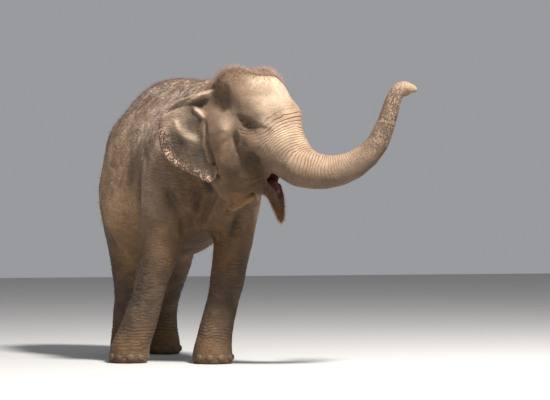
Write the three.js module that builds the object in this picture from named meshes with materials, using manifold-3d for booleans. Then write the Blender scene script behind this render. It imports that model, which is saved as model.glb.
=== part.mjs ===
// Asian elephant cow at life size. She stands on all four feet, leans a little to her left,
// turns her head to her left and curls her raised trunk. Units are millimetres, +Z is up,
// the animal faces -Y, her left side is +X and the floor is Z = 0.
//
// The flesh is one smooth field: a negative number inside the animal, a positive one outside.
// It is meshed region by region, then parted into named pieces by thin cuts.
import * as THREE from "three";
import { mergeVertices } from "three/addons/utils/BufferGeometryUtils.js";
import Module from "manifold-3d";

const wasm = await Module();
wasm.setup();
const { lerp, clamp, degToRad } = THREE.MathUtils;

// ---- Driving dimensions ----
const cutGap = 0.6; // left by each cut through the flesh
const clearance = 1.2; // between a separate piece and the hide it grows from

const torsoCell = 148; // mesh sizes
const legCell = 112;
const headCell = 67;
const tipCell = 31;

const eyeLevel = 2010; // height of the eyes above the floor
const headPlace = new THREE.Vector3(300, -800, eyeLevel); // midway between the eyes
const headTurn = degToRad(30); // to her left, from straight ahead
const eyeRadius = 24;
const eyeShown = 10; // how far the eyeball stands out of its socket

const waist = 620; // cut between the fore and hind halves of the torso
const kneeHeight = 520; // cut between the upper and the lower leg
const frontFootHeight = 190;
const hindFootHeight = 175;
const betweenFrontLegs = -140; // a place in X that lies between the two legs of a pair
const betweenHindLegs = -100;

const nailSize = [46, 26, 42]; // half width, half thickness, half height
const nailLevel = 52;
const nailShown = 14;
const nailFan = degToRad(32); // between neighbouring nails

const tailCut = 1000; // height at which the tail's hair starts

// ---- Materials ----
const paint = (color, roughness) => new THREE.MeshStandardMaterial({ color, roughness, metalness: 0 });
const hide = paint(0x7d6a5b, 0.85);
const nailHorn = paint(0xa3917c, 0.5);
const eyeball = paint(0x3a2415, 0.15);
const hair = paint(0x2b2320, 0.7);

// ---- Field tools ----
// Union of two distances, rounded over a width k.
function join(a, b, k) {
  const h = Math.max(k - Math.abs(a - b), 0) / k;
  return Math.min(a, b) - (h * h * k) / 4;
}

// Distance a with b scooped out of it, rounded over a width k.
const scoop = (a, b, k) => -join(-a, b, k);

// An ellipsoid at a place, with three half sizes.
function ball([cx, cy, cz], [rx, ry, rz]) {
  return (x, y, z) => {
    const px = (x - cx) / rx;
    const py = (y - cy) / ry;
    const pz = (z - cz) / rz;
    const reach = Math.hypot(px, py, pz);
    const slope = Math.hypot(px / rx, py / ry, pz / rz);
    return slope > 1e-9 ? (reach * (reach - 1)) / slope : -Math.min(rx, ry, rz);
  };
}

const masses = (list) => list.map(([at, sizes, blend]) => ({ field: ball(at, sizes), blend }));

// The curves of a limb given as stations of [x, y, z, radius]: its middle line and its radius.
function limbCurves(stations) {
  const line = new THREE.CatmullRomCurve3(stations.map(([x, y, z]) => new THREE.Vector3(x, y, z)));
  const width = new THREE.SplineCurve(stations.map((station, i) => new THREE.Vector2(i, station[3])));
  return { line, radius: (t) => width.getPoint(t).y };
}

// A tapering limb along stations of [x, y, z, radius], its section deeper than wide by the factor deep.
function limb(stations, deep = 1) {
  const { line, radius } = limbCurves(stations);
  const count = (stations.length - 1) * 4;
  const links = Array.from({ length: count + 1 }, (_, i) => [...line.getPoint(i / count), radius(i / count)]);
  return (x, y, z) => {
    let nearest = Infinity;
    for (let i = 1; i < links.length; i++) {
      const [ax, ay, az, ar] = links[i - 1];
      const [bx, by, bz, br] = links[i];
      const ex = bx - ax;
      const ey = (by - ay) / deep;
      const ez = bz - az;
      const px = x - ax;
      const py = (y - ay) / deep;
      const pz = z - az;
      const t = clamp((px * ex + py * ey + pz * ez) / (ex * ex + ey * ey + ez * ez), 0, 1);
      const away = Math.hypot(px - t * ex, py - t * ey, pz - t * ez);
      nearest = Math.min(nearest, away - lerp(ar, br, t));
    }
    return nearest;
  };
}

// ---- Torso ----
// From chest to rump: place along the body, back line, belly line, half width, level of the widest
// point, and how far the middle of the body sways to her left.
const torsoStations = [
  [-520, 2300, 1560, 230, 1960, 50],
  [-250, 2400, 1250, 390, 1800, 30],
  [100, 2440, 1140, 455, 1620, 0],
  [400, 2478, 1020, 530, 1500, -20],
  [850, 2455, 870, 600, 1400, -50],
  [1180, 2345, 925, 510, 1460, -65],
  [1420, 2170, 1090, 430, 1560, -70],
  [1660, 1960, 1330, 300, 1640, -70],
];
const capLength = 300; // length over which each end of the torso rounds off
const ridgePower = 1.75; // section above the widest point: lower is more of a ridge
const bellyPower = 2.15; // section below it

const torsoPlaces = torsoStations.map(([place]) => place);
const torsoStart = torsoPlaces[0];
const torsoEnd = torsoPlaces[torsoPlaces.length - 1];
const torsoCurves = [1, 2, 3, 4, 5].map((column) =>
  new THREE.SplineCurve(torsoStations.map((station) => new THREE.Vector2(station[0], station[column]))));
const sections = new Map(); // each section asked for, kept by its place along the body

function torsoSection(y) {
  const key = Math.round(y);
  if (!sections.has(key)) {
    const i = torsoPlaces.findLastIndex((place, n) => place <= key && n < torsoPlaces.length - 1);
    const t = (i + (key - torsoPlaces[i]) / (torsoPlaces[i + 1] - torsoPlaces[i])) / (torsoPlaces.length - 1);
    sections.set(key, torsoCurves.map((curve) => curve.getPoint(t).y));
  }
  return sections.get(key);
}

function torso(x, y, z) {
  const [back, belly, halfWidth, widest, sway] = torsoSection(clamp(y, torsoStart, torsoEnd));
  const fromEnd = Math.min(y - torsoStart, torsoEnd - y);
  const t = clamp(1 - fromEnd / capLength, 0, 0.99);
  const closing = Math.sqrt(1 - t * t);
  const upper = z > widest;
  const width = halfWidth * closing;
  const height = (upper ? back - widest : widest - belly) * closing;
  const power = upper ? ridgePower : bellyPower;
  const across = Math.abs(x - sway) / width;
  const upright = Math.abs(z - widest) / height;
  const ring = Math.max((across ** power + upright ** power) ** (1 / power), 0.01);
  const slope = Math.hypot((across / ring) ** (power - 1) / width, (upright / ring) ** (power - 1) / height);
  const distance = (ring - 1) / slope;
  return fromEnd < 0 ? Math.hypot(Math.max(distance, 0), fromEnd) : distance;
}

// Masses that show through the hide: [place, half sizes, width of the blend].
const torsoMasses = masses([
  [[320, -30, 1620], [185, 280, 400], 150], // shoulder, left
  [[-320, 0, 1620], [180, 280, 400], 150], // shoulder, right
  [[0, -220, 1440], [260, 230, 280], 160], // breast
  [[195, 1250, 1930], [125, 200, 180], 130], // hip, left
  [[-325, 1250, 1930], [125, 200, 180], 130], // hip, right
  [[140, 1370, 1330], [165, 290, 380], 140], // thigh, left
  [[-260, 1310, 1330], [160, 290, 380], 140], // thigh, right
  [[-65, 1500, 1930], [110, 160, 140], 140], // root of the tail
  [[70, -380, 1960], [335, 400, 440], 180], // neck
  [[110, -470, 1700], [200, 260, 290], 150], // throat
]);

// ---- Legs ----
// Stations of [x, y, z, radius] from the top of each leg to its sole. The nails fan out about
// the way that the foot is facing, an angle from straight ahead towards her left.
const frontLeg = { deep: 1.08, footHeight: frontFootHeight, nails: 5 };
const hindLeg = { deep: 1.16, footHeight: hindFootHeight, nails: 4 };
const legs = {
  front_left: {
    ...frontLeg,
    facing: 0.1,
    stations: [
      [320, 0, 1500, 195], [282, -55, 1230, 190], [240, -100, 1000, 166], [180, -140, 700, 148],
      [128, -160, 500, 141], [85, -180, 370, 143], [45, -200, 210, 150], [26, -212, 110, 164],
      [22, -214, 30, 180],
    ],
  },
  front_right: {
    ...frontLeg,
    facing: -0.2,
    stations: [
      [-315, 0, 1500, 195], [-340, 20, 1230, 195], [-364, 35, 1000, 176], [-435, 60, 720, 150],
      [-480, 85, 520, 141], [-520, 105, 370, 147], [-572, 128, 210, 158], [-608, 138, 110, 164],
      [-616, 140, 30, 176],
    ],
  },
  hind_left: {
    ...hindLeg,
    facing: 0.1,
    stations: [
      [180, 1380, 1520, 215], [170, 1330, 1230, 206], [145, 1270, 960, 188], [118, 1250, 770, 164],
      [98, 1330, 560, 136], [102, 1400, 400, 123], [100, 1420, 260, 129], [98, 1405, 120, 146],
      [96, 1390, 30, 156],
    ],
  },
  hind_right: {
    ...hindLeg,
    facing: -0.12,
    stations: [
      [-270, 1330, 1520, 205], [-284, 1260, 1230, 202], [-298, 1180, 960, 188], [-300, 1130, 770, 166],
      [-300, 1185, 560, 136], [-302, 1240, 400, 123], [-305, 1250, 260, 129], [-308, 1225, 120, 146],
      [-310, 1205, 30, 156],
    ],
  },
};
const legFields = Object.values(legs).map((leg) => limb(leg.stations, leg.deep));
const legBlend = 120;

// ---- Head, in its own frame: u forward, v to her left, w up from midway between the eyes ----
const forward = new THREE.Vector3(Math.sin(headTurn), -Math.cos(headTurn), 0);
const leftward = new THREE.Vector3(Math.cos(headTurn), Math.sin(headTurn), 0);

function fromHead(u, v, w) {
  return headPlace.clone().addScaledVector(forward, u).addScaledVector(leftward, v).setZ(headPlace.z + w);
}

function inHead(shape) {
  return (x, y, z) => {
    const dx = x - headPlace.x;
    const dy = y - headPlace.y;
    return shape(dx * forward.x + dy * forward.y, dx * leftward.x + dy * leftward.y, z - headPlace.z);
  };
}

const headMiddle = masses([
  [[-190, 0, 90], [310, 262, 330], 60], // braincase
  [[-10, 0, 170], [215, 205, 265], 90], // forehead
  [[182, 0, 66], [165, 165, 150], 110], // swelling where the trunk begins
  [[40, 0, -150], [215, 190, 250], 110], // muzzle
  [[-315, -10, -560], [70, 75, 95], 60], // fold of the throat
]);
const headPairs = masses([
  [[-195, 168, 312], [190, 150, 172], 90], // dome
  [[20, 175, 110], [140, 75, 80], 70], // brow
  [[-165, 215, 5], [135, 80, 62], 60], // cheekbone
  [[-20, 165, -130], [150, 95, 150], 80], // cheek
  [[-205, 120, -300], [205, 140, 225], 110], // jaw muscle
  [[-110, 80, -455], [190, 85, 95], 80], // lower jaw
]);
const headHollows = masses([
  [[-265, 345, 190], [120, 120, 120], 90], // temple
  [[60, 330, 0], [70, 95, 55], 60], // round the eye
  [[90, 245, -330], [110, 95, 90], 80], // behind the corner of the mouth
  [[-150, 0, 600], [260, 55, 130], 120], // groove between the domes
]);

const head = inHead((u, v, w) => {
  const pair = (field) => Math.min(field(u, v, w), field(u, -v, w));
  let d = Infinity;
  for (const { field, blend } of headMiddle) d = join(d, field(u, v, w), blend);
  for (const { field, blend } of headPairs) d = join(d, pair(field), blend);
  for (const { field, blend } of headHollows) d = scoop(d, pair(field), blend);
  return d;
});

// The hanging lower lip and the hollow of the open mouth, as stations of [forward, sideways, up, radius].
const headStations = (list) => list.map(([u, v, w, r]) => [...fromHead(u, v, w), r]);
const lipStations = headStations([
  [-60, 0, -480, 84], [60, 0, -512, 84], [112, 0, -585, 66], [140, 0, -680, 44], [168, 0, -790, 14],
]);
const mouthStations = headStations([
  [-40, 0, -412, 34], [60, 0, -425, 66], [130, 0, -470, 66], [184, 0, -620, 34], [206, 0, -740, 12],
]);

// ---- Trunk ----
const trunkStations = [
  [340, -870, 1985, 215], [392, -959, 1835, 205], [484, -1112, 1672, 172], [600, -1208, 1628, 150],
  [718, -1272, 1624, 134], [900, -1337, 1692, 114], [1062, -1376, 1845, 92], [1160, -1384, 2070, 76],
  [1205, -1378, 2200, 66], [1245, -1378, 2286, 60], [1302, -1388, 2322, 52], [1352, -1398, 2312, 42],
];
const trunk = limb(trunkStations);
const tipFinger = limb([[1330, -1392, 2325, 34], [1390, -1408, 2310, 22], [1436, -1420, 2280, 9]]);
const tipLip = limb([[1290, -1384, 2285, 36], [1330, -1394, 2262, 20]]);
const headEnd = 400; // no part of the head or the trunk lies further back than this

// ---- The whole animal ----
function flesh(x, y, z) {
  let d = torso(x, y, z);
  for (const { field, blend } of torsoMasses) d = join(d, field(x, y, z), blend);
  for (const field of legFields) d = join(d, field(x, y, z), legBlend);
  if (y > headEnd) return d;
  d = join(d, head(x, y, z), 110);
  d = join(d, trunk(x, y, z), 50);
  d = join(d, tipFinger(x, y, z), 18);
  return join(d, tipLip(x, y, z), 14);
}

// ---- Meshing ----
function solid(coordinates, triangles) {
  return new wasm.Manifold(new wasm.Mesh({
    numProp: 3,
    vertProperties: new Float32Array(coordinates),
    triVerts: new Uint32Array(triangles),
  }));
}

// A closed mesh of the flesh inside a box, with one quad for each grid edge that leaves the animal.
// Its points are then moved onto the hide, and outwards by grow.
function meshFlesh([low, high, cell], grow = 0) {
  const [nx, ny, nz] = low.map((start, axis) => Math.ceil((high[axis] - start) / cell) + 1);
  const at = (i, j, k) => (k * ny + j) * nx + i;
  const isRim = (i, j, k) => Math.min(i, j, k) === 0 || i === nx - 1 || j === ny - 1 || k === nz - 1;
  const values = new Float32Array(nx * ny * nz);
  for (let k = 0; k < nz; k++) {
    for (let j = 0; j < ny; j++) {
      for (let i = 0; i < nx; i++) {
        const d = flesh(low[0] + i * cell, low[1] + j * cell, low[2] + k * cell);
        values[at(i, j, k)] = isRim(i, j, k) ? Math.max(d, cell / 2) : d;
      }
    }
  }
  const steps = [1, nx, nx * ny];
  const corners = Array.from({ length: 8 }, (_, c) => [c & 1, (c >> 1) & 1, (c >> 2) & 1]);
  const points = [];
  const pointOf = new Map();
  for (let k = 0; k < nz - 1; k++) {
    for (let j = 0; j < ny - 1; j++) {
      for (let i = 0; i < nx - 1; i++) {
        const crossings = edgeCrossings(corners, (a, b, c) => values[at(i + a, j + b, k + c)]);
        if (crossings.length === 0) continue;
        const middle = [i, j, k].map((cellAt, axis) =>
          cellAt + crossings.reduce((sum, crossing) => sum + crossing[axis], 0) / crossings.length);
        const point = middle.map((m, axis) => low[axis] + m * cell);
        const open = isRim(i, j, k) || isRim(i + 1, j + 1, k + 1);
        pointOf.set(at(i, j, k), points.length);
        points.push(open ? point : ontoHide(point, cell, grow));
      }
    }
  }
  const triangles = [];
  for (let k = 0; k < nz - 1; k++) {
    for (let j = 0; j < ny - 1; j++) {
      for (let i = 0; i < nx - 1; i++) {
        const here = at(i, j, k);
        const inHere = values[here] < 0;
        for (let axis = 0; axis < 3; axis++) {
          if (inHere === values[here + steps[axis]] < 0) continue;
          const s = steps[(axis + 1) % 3];
          const t = steps[(axis + 2) % 3];
          const [a, b, c, d] = [here - s - t, here - t, here, here - s].map((cellAt) => pointOf.get(cellAt));
          triangles.push(...(inHere ? [a, b, c, a, c, d] : [a, c, b, a, d, c]));
        }
      }
    }
  }
  return solid(points.flat(), triangles);
}

// Where the twelve edges of a grid cell leave the animal, each between 0 and 1 across the cell.
function edgeCrossings(corners, valueAt) {
  const crossings = [];
  corners.forEach((corner) => {
    const here = valueAt(...corner);
    corner.forEach((side, axis) => {
      if (side === 1) return;
      const far = corner.map((c, m) => (m === axis ? 1 : c));
      const there = valueAt(...far);
      if (here < 0 === there < 0) return;
      crossings.push(corner.map((c, m) => (m === axis ? here / (here - there) : c)));
    });
  });
  return crossings;
}

// The nearest place on the hide, moved outwards by grow.
function ontoHide(start, cell, grow) {
  const e = cell / 40;
  const rounds = 3;
  let [x, y, z] = start;
  for (let round = 1; round <= rounds; round++) {
    const gx = (flesh(x + e, y, z) - flesh(x - e, y, z)) / (2 * e);
    const gy = (flesh(x, y + e, z) - flesh(x, y - e, z)) / (2 * e);
    const gz = (flesh(x, y, z + e) - flesh(x, y, z - e)) / (2 * e);
    const steepness = Math.hypot(gx, gy, gz);
    if (steepness < 1e-3) break;
    const outwards = round === rounds ? grow : 0;
    const move = clamp(outwards - flesh(x, y, z) / steepness, -cell / 3, cell / 3) / steepness;
    x += gx * move;
    y += gy * move;
    z += gz * move;
  }
  return [x, y, z];
}

// A closed tube of round sections along stations of [x, y, z, radius].
function tube(stations, rings, around) {
  const { line, radius } = limbCurves(stations);
  const coordinates = [];
  const triangles = [];
  for (let j = 0; j <= rings; j++) {
    const t = j / rings;
    const at = line.getPoint(t);
    const way = line.getTangent(t);
    const side = new THREE.Vector3(1, 0, 0).projectOnPlane(way).normalize();
    const other = way.clone().cross(side);
    for (let i = 0; i < around; i++) {
      const angle = (2 * Math.PI * i) / around;
      const spoke = side.clone().multiplyScalar(Math.cos(angle)).addScaledVector(other, Math.sin(angle));
      coordinates.push(...spoke.multiplyScalar(radius(t)).add(at));
    }
  }
  for (let j = 0; j < rings; j++) {
    for (let i = 0; i < around; i++) {
      const a = j * around + i;
      const b = j * around + ((i + 1) % around);
      triangles.push(a, b, b + around, a, b + around, a + around);
    }
  }
  const lastRing = rings * around;
  for (let i = 1; i < around - 1; i++) {
    triangles.push(0, i + 1, i, lastRing, lastRing + i, lastRing + i + 1);
  }
  return solid(coordinates, triangles);
}

function fromGeometry(geometry) {
  geometry.deleteAttribute("normal");
  geometry.deleteAttribute("uv");
  const merged = mergeVertices(geometry, 0.001);
  return solid(merged.attributes.position.array, merged.index.array);
}

// ---- Cuts ----
// A plane by its normal and a place that it goes through.
const plane = (normal, through) => ({ normal: new THREE.Vector3(...normal).normalize(), through });
const level = (height) => plane([0, 0, 1], [0, 0, height]);
const across = (place) => plane([0, 1, 0], [0, place, 0]);
const turned = (u, w) => [...forward.clone().multiplyScalar(u).setZ(w)]; // a normal in the head frame

// The part of a shape on the side that a plane's normal points to, and the part on the other side.
function past(shape, { normal, through }) {
  return shape.trimByPlane([...normal], normal.dot(new THREE.Vector3(...through)) + cutGap / 2);
}
function shortOf(shape, { normal, through }) {
  return past(shape, { normal: normal.clone().negate(), through });
}

const planes = {
  neck: plane([0.15, -1, 0], [20, -260, 1900]),
  head: plane(turned(1, 0.12), fromHead(-400, 0, 0)),
  jaw: plane(turned(-0.515, -0.857), fromHead(110, 0, -455)),
  trunk: plane(turned(0.78, -0.62), fromHead(270, 0, -260)),
  frontLegs: plane([0, -0.2, -1], [0, 0, 1085]),
  hindLegs: plane([0, 0.62, -1], [0, 1200, 875]),
};

// ---- Parting the flesh ----
const pieces = new Map();

// Keeps the largest of the bodies that the cuts leave.
function keep(name, shape, material = hide) {
  const [largest] = shape.decompose().sort((a, b) => b.volume() - a.volume());
  pieces.set(name, { shape: largest, material });
}

const torsoRegion = [[-900, -1000, 600], [900, 2050, 2750], torsoCell];
const legRegion = [[-950, -560, -150], [640, 1850, 1400], legCell];
const headRegion = [[-450, -1750, 1000], [1000, -150, 2750], headCell];
const tipRegion = [[1080, -1520, 2050], [1560, -1250, 2450], tipCell];

const torsoMesh = meshFlesh(torsoRegion);
const foreHalf = shortOf(shortOf(torsoMesh, across(waist)), planes.neck);
keep("forequarters", shortOf(foreHalf, planes.frontLegs));
keep("hindquarters", shortOf(past(torsoMesh, across(waist)), planes.hindLegs));
keep("neck", shortOf(shortOf(past(torsoMesh, planes.neck), planes.head), planes.frontLegs));

const headMesh = meshFlesh(headRegion);
const mouth = tube(mouthStations, 6, 8);
const skull = past(headMesh, planes.head).add(past(tube(lipStations, 7, 10), planes.jaw)).subtract(mouth);
const aboveJaw = shortOf(skull, planes.jaw);
keep("head", shortOf(aboveJaw, planes.trunk));
keep("lower_jaw", past(skull, planes.jaw));

// Each trunk cut is square to the trunk at one of its stations.
function trunkCut(station) {
  const way = trunkStations[station + 1].map((c, m) => c - trunkStations[station - 1][m]);
  return plane(way.slice(0, 3), trunkStations[station].slice(0, 3));
}
const trunkMesh = tube(trunkStations, 18, 12);
keep("trunk_root", shortOf(past(aboveJaw, planes.trunk), trunkCut(3)));
keep("trunk_upper", shortOf(past(trunkMesh, trunkCut(3)), trunkCut(5)));
keep("trunk_middle", shortOf(past(trunkMesh, trunkCut(5)), trunkCut(7)));
keep("trunk_lower", shortOf(past(trunkMesh, trunkCut(7)), trunkCut(9)));
keep("trunk_tip", past(meshFlesh(tipRegion), trunkCut(9)));

const legMesh = meshFlesh(legRegion).trimByPlane([0, 0, 1], 0);
for (const [name, leg] of Object.entries(legs)) {
  const isFront = name.startsWith("front");
  const side = name.endsWith("left") ? 1 : -1;
  const ownSide = plane([side, 0, 0], [isFront ? betweenFrontLegs : betweenHindLegs, 0, 0]);
  const ownEnd = isFront ? shortOf(legMesh, across(waist)) : past(legMesh, across(waist));
  const whole = past(past(ownEnd, ownSide), isFront ? planes.frontLegs : planes.hindLegs);
  keep(`${name}_upper`, past(whole, level(kneeHeight)));
  keep(`${name}_lower`, shortOf(past(whole, level(leg.footHeight)), level(kneeHeight)));
  keep(`${name}_foot`, shortOf(whole, level(leg.footHeight)));
}

// ---- Eyes ----
// How far the hide is from a place inside the animal, along a direction.
function wayOut(from, direction) {
  let near = 0;
  let far = 600;
  while (far - near > 0.5) {
    const half = (near + far) / 2;
    const at = direction.clone().multiplyScalar(half).add(from);
    if (flesh(at.x, at.y, at.z) < 0) near = half;
    else far = half;
  }
  return near;
}

function eyeballOf(side, radius) {
  const outward = leftward.clone().multiplyScalar(side);
  const at = outward.multiplyScalar(wayOut(headPlace, outward) + eyeShown - eyeRadius).add(headPlace);
  return fromGeometry(new THREE.SphereGeometry(radius, 9, 6).translate(at.x, at.y, at.z));
}

const sides = { left: 1, right: -1 };
for (const [name, side] of Object.entries(sides)) {
  keep(`eye_${name}`, eyeballOf(side, eyeRadius), eyeball);
  keep("head", pieces.get("head").shape.subtract(eyeballOf(side, eyeRadius + clearance)));
}

// ---- Ears ----
// Outlines measured back and up from the top of the ear's root, in the plane of the ear.
const earRoot = [-385, 262, 285]; // forward, sideways and up from headPlace
const earSwing = { left: degToRad(60), right: degToRad(32) }; // away from the head's own direction
const earLean = { left: 150, right: 0 }; // how far its foot is pushed out by the bent neck
const outline = (places) => new THREE.SplineCurve(places.map((place) => new THREE.Vector2(...place)));
const earFront = outline([[-30, 5], [-60, -200], [-70, -450], [-70, -600], [-20, -750]]);
const earRear = outline([
  [150, -50], [300, -115], [408, -195], [442, -300], [432, -430], [372, -550], [245, -642], [88, -715],
  [-10, -756],
]);
const earThick = { root: 34, rim: 14 };
const earBulge = 45;
const earRim = 40; // how far the top edge turns forward

// A closed sheet over a grid of places, thick about its middle surface.
function sheet(place, thickness, columns, rows) {
  const coordinates = [];
  const triangles = [];
  const e = 0.01;
  for (const face of [0.5, -0.5]) {
    for (let j = 0; j <= rows; j++) {
      for (let i = 0; i <= columns; i++) {
        const a = i / columns;
        const b = j / rows;
        const sideways = place(Math.min(a + e, 1), b).sub(place(Math.max(a - e, 0), b));
        const down = place(a, Math.min(b + e, 1)).sub(place(a, Math.max(b - e, 0)));
        const normal = sideways.cross(down).normalize();
        coordinates.push(...place(a, b).addScaledVector(normal, face * thickness(a)));
      }
    }
  }
  const index = (face, i, j) => (face * (rows + 1) + j) * (columns + 1) + i;
  const quad = (p, q, r, s) => triangles.push(p, q, r, p, r, s);
  for (let j = 0; j < rows; j++) {
    for (let i = 0; i < columns; i++) {
      quad(index(0, i, j), index(0, i + 1, j), index(0, i + 1, j + 1), index(0, i, j + 1));
      quad(index(1, i, j), index(1, i, j + 1), index(1, i + 1, j + 1), index(1, i + 1, j));
    }
    quad(index(0, 0, j), index(0, 0, j + 1), index(1, 0, j + 1), index(1, 0, j));
    quad(index(0, columns, j + 1), index(0, columns, j), index(1, columns, j), index(1, columns, j + 1));
  }
  for (let i = 0; i < columns; i++) {
    quad(index(0, i + 1, 0), index(0, i, 0), index(1, i, 0), index(1, i + 1, 0));
    quad(index(0, i, rows), index(0, i + 1, rows), index(1, i + 1, rows), index(1, i, rows));
  }
  const made = solid(coordinates, triangles);
  return made.volume() > 0 ? made : solid(coordinates, triangles.reverse());
}

function ear(name, side) {
  const [rootForward, rootSideways, rootUp] = earRoot;
  const swing = earSwing[name];
  const lean = earLean[name];
  const place = (a, b) => {
    const { x: back, y: rise } = earFront.getPoint(b).lerp(earRear.getPoint(b), a);
    const cup = earBulge * Math.sin(Math.PI * Math.max(a, 0.1)) * (1 - 0.6 * b);
    const out = cup + earRim * Math.max(1 - b * 7, 0) * clamp(a * 3, 0, 1);
    const pushed = lean * Math.sin((b * Math.PI) / 2);
    return fromHead(
      rootForward - back * Math.cos(swing) + out * Math.sin(swing),
      side * (rootSideways + back * Math.sin(swing) + out * Math.cos(swing) + pushed),
      rootUp + rise,
    );
  };
  return sheet(place, (a) => lerp(earThick.root, earThick.rim, clamp(a * 2, 0, 1)), 5, 9);
}

const torsoClearance = meshFlesh(torsoRegion, clearance);
const headClearance = meshFlesh(headRegion, clearance);
for (const [name, side] of Object.entries(sides)) {
  keep(`ear_${name}`, ear(name, side).subtract(headClearance).subtract(torsoClearance));
}

// ---- Toenails ----
const legClearance = meshFlesh(legRegion, clearance);
for (const [name, leg] of Object.entries(legs)) {
  const [soleX, soleY] = leg.stations[leg.stations.length - 1];
  const centre = new THREE.Vector3(soleX, soleY, nailLevel);
  for (let i = 0; i < leg.nails; i++) {
    const angle = leg.facing + nailFan * (i - (leg.nails - 1) / 2);
    const way = new THREE.Vector3(Math.sin(angle), -Math.cos(angle), 0);
    const at = way.clone().multiplyScalar(wayOut(centre, way) + nailShown - nailSize[1]).add(centre);
    const plate = new THREE.SphereGeometry(1, 6, 4).scale(...nailSize).rotateZ(angle).translate(...at);
    keep(`${name}_nail_${i + 1}`, fromGeometry(plate).subtract(legClearance), nailHorn);
  }
}

// ---- Tail ----
const tailStations = [
  [-66, 1560, 1960, 66], [-68, 1660, 1880, 60], [-70, 1725, 1700, 44], [-73, 1745, 1450, 33],
  [-76, 1742, 1200, 27], [-78, 1735, 980, 24],
];
const tuftStations = [[-78, 1735, 1020, 20], [-79, 1733, 930, 38], [-80, 1730, 830, 34], [-81, 1728, 740, 8]];
keep("tail", past(tube(tailStations, 9, 7), level(tailCut)).subtract(torsoClearance));
keep("tail_tuft", shortOf(tube(tuftStations, 5, 7), level(tailCut)), hair);

// ---- Assembly ----
const elephant = new THREE.Group();
for (const [name, { shape, material }] of pieces) {
  const mesh = shape.getMesh();
  const geometry = new THREE.BufferGeometry();
  geometry.setAttribute("position", new THREE.BufferAttribute(mesh.vertProperties, 3));
  geometry.setIndex(new THREE.BufferAttribute(mesh.triVerts, 1));
  geometry.computeVertexNormals();
  const piece = new THREE.Mesh(geometry, material);
  piece.name = name;
  elephant.add(piece);
}

// The origin lies on the floor, under the middle of the animal.
const middle = new THREE.Box3().setFromObject(elephant).getCenter(new THREE.Vector3());
elephant.position.set(-middle.x, -middle.y, 0);

export default elephant;
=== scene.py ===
import math
from contextlib import contextmanager

import bpy
import numpy as np
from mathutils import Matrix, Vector
from mathutils.bvhtree import BVHTree


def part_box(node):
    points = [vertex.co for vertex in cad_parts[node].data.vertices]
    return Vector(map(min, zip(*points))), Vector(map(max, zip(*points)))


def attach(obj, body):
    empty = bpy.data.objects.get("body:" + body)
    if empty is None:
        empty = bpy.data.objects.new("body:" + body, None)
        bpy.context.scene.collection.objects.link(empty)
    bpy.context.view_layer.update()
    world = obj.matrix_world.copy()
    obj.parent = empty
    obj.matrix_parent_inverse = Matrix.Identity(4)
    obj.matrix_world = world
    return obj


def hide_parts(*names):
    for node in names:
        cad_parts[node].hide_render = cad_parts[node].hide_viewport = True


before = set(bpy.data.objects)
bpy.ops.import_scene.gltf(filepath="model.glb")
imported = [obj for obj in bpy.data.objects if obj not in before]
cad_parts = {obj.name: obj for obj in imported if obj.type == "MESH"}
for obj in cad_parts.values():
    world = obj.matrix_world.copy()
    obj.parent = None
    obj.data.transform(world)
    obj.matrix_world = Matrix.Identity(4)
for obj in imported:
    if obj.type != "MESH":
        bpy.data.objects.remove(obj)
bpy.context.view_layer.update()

legNames = ["front_left", "front_right", "hind_left", "hind_right"]
fleshNodes = ["forequarters", "hindquarters", "neck", "head", "lower_jaw", "tail"]
fleshNodes += ["trunk_root", "trunk_upper", "trunk_middle", "trunk_lower", "trunk_tip"]
fleshNodes += [f"{leg}_{part}" for leg in legNames for part in ("upper", "lower", "foot")]
earNodes = ["ear_left", "ear_right"]
nailNodes = [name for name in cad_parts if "_nail_" in name]


def middleOf(node):
    low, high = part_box(node)
    return (Vector(low) + Vector(high)) / 2


# the head's own frame: u forward, v to her left, w up, measured from midway between the eyes
eyePlaces = {1: middleOf("eye_left"), -1: middleOf("eye_right")}
headPlace = (eyePlaces[1] + eyePlaces[-1]) / 2
leftward = (eyePlaces[1] - eyePlaces[-1]).normalized()
forward = leftward.cross(Vector((0, 0, 1))).normalized()
upward = Vector((0, 0, 1))
headAxes = np.array([forward, leftward, upward], np.float32)

headFromShoulders = Vector((0.300, -0.800, 2.010))
# where on the floor the middle of the shoulders stands
shoulderPlace = np.array(headPlace - headFromShoulders, np.float32)
# the middle of the trunk as [x, y, z, radius], measured from there, from between the eyes to the tip
trunkRoute = [
    [0.340, -0.870, 1.985, 0.215], [0.392, -0.959, 1.835, 0.205], [0.484, -1.112, 1.672, 0.172],
    [0.600, -1.208, 1.628, 0.150], [0.718, -1.272, 1.624, 0.134], [0.900, -1.337, 1.692, 0.114],
    [1.062, -1.376, 1.845, 0.092], [1.160, -1.384, 2.070, 0.076], [1.205, -1.378, 2.200, 0.066],
    [1.245, -1.378, 2.286, 0.060], [1.302, -1.388, 2.322, 0.052], [1.352, -1.398, 2.312, 0.042],
    [1.436, -1.420, 2.280, 0.010],
]


def inHead(co):
    return (co - np.array(headPlace, np.float32)) @ headAxes.T


def offHead(place):
    return place @ headAxes + np.array(headPlace, np.float32)


def activate(piece, *others):
    bpy.ops.object.select_all(action="DESELECT")
    for chosen in (piece, *others):
        chosen.select_set(True)
    bpy.context.view_layer.objects.active = piece


def apply(piece, kind, **settings):
    activate(piece)
    modifier = piece.modifiers.new(kind.title(), kind)
    for name, value in settings.items():
        setattr(modifier, name, value)
    bpy.ops.object.modifier_apply(modifier=modifier.name)


def pointsOf(piece):
    co = np.empty(len(piece.data.vertices) * 3, np.float32)
    piece.data.vertices.foreach_get("co", co)
    return co.reshape(-1, 3)


def placePoints(piece, co):
    piece.data.vertices.foreach_set("co", np.ascontiguousarray(co, np.float32).ravel())
    piece.data.update()


def cornersOf(piece):
    # the point at each corner of each face
    found = np.empty(len(piece.data.loops), np.int32)
    piece.data.loops.foreach_get("vertex_index", found)
    return found


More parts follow.
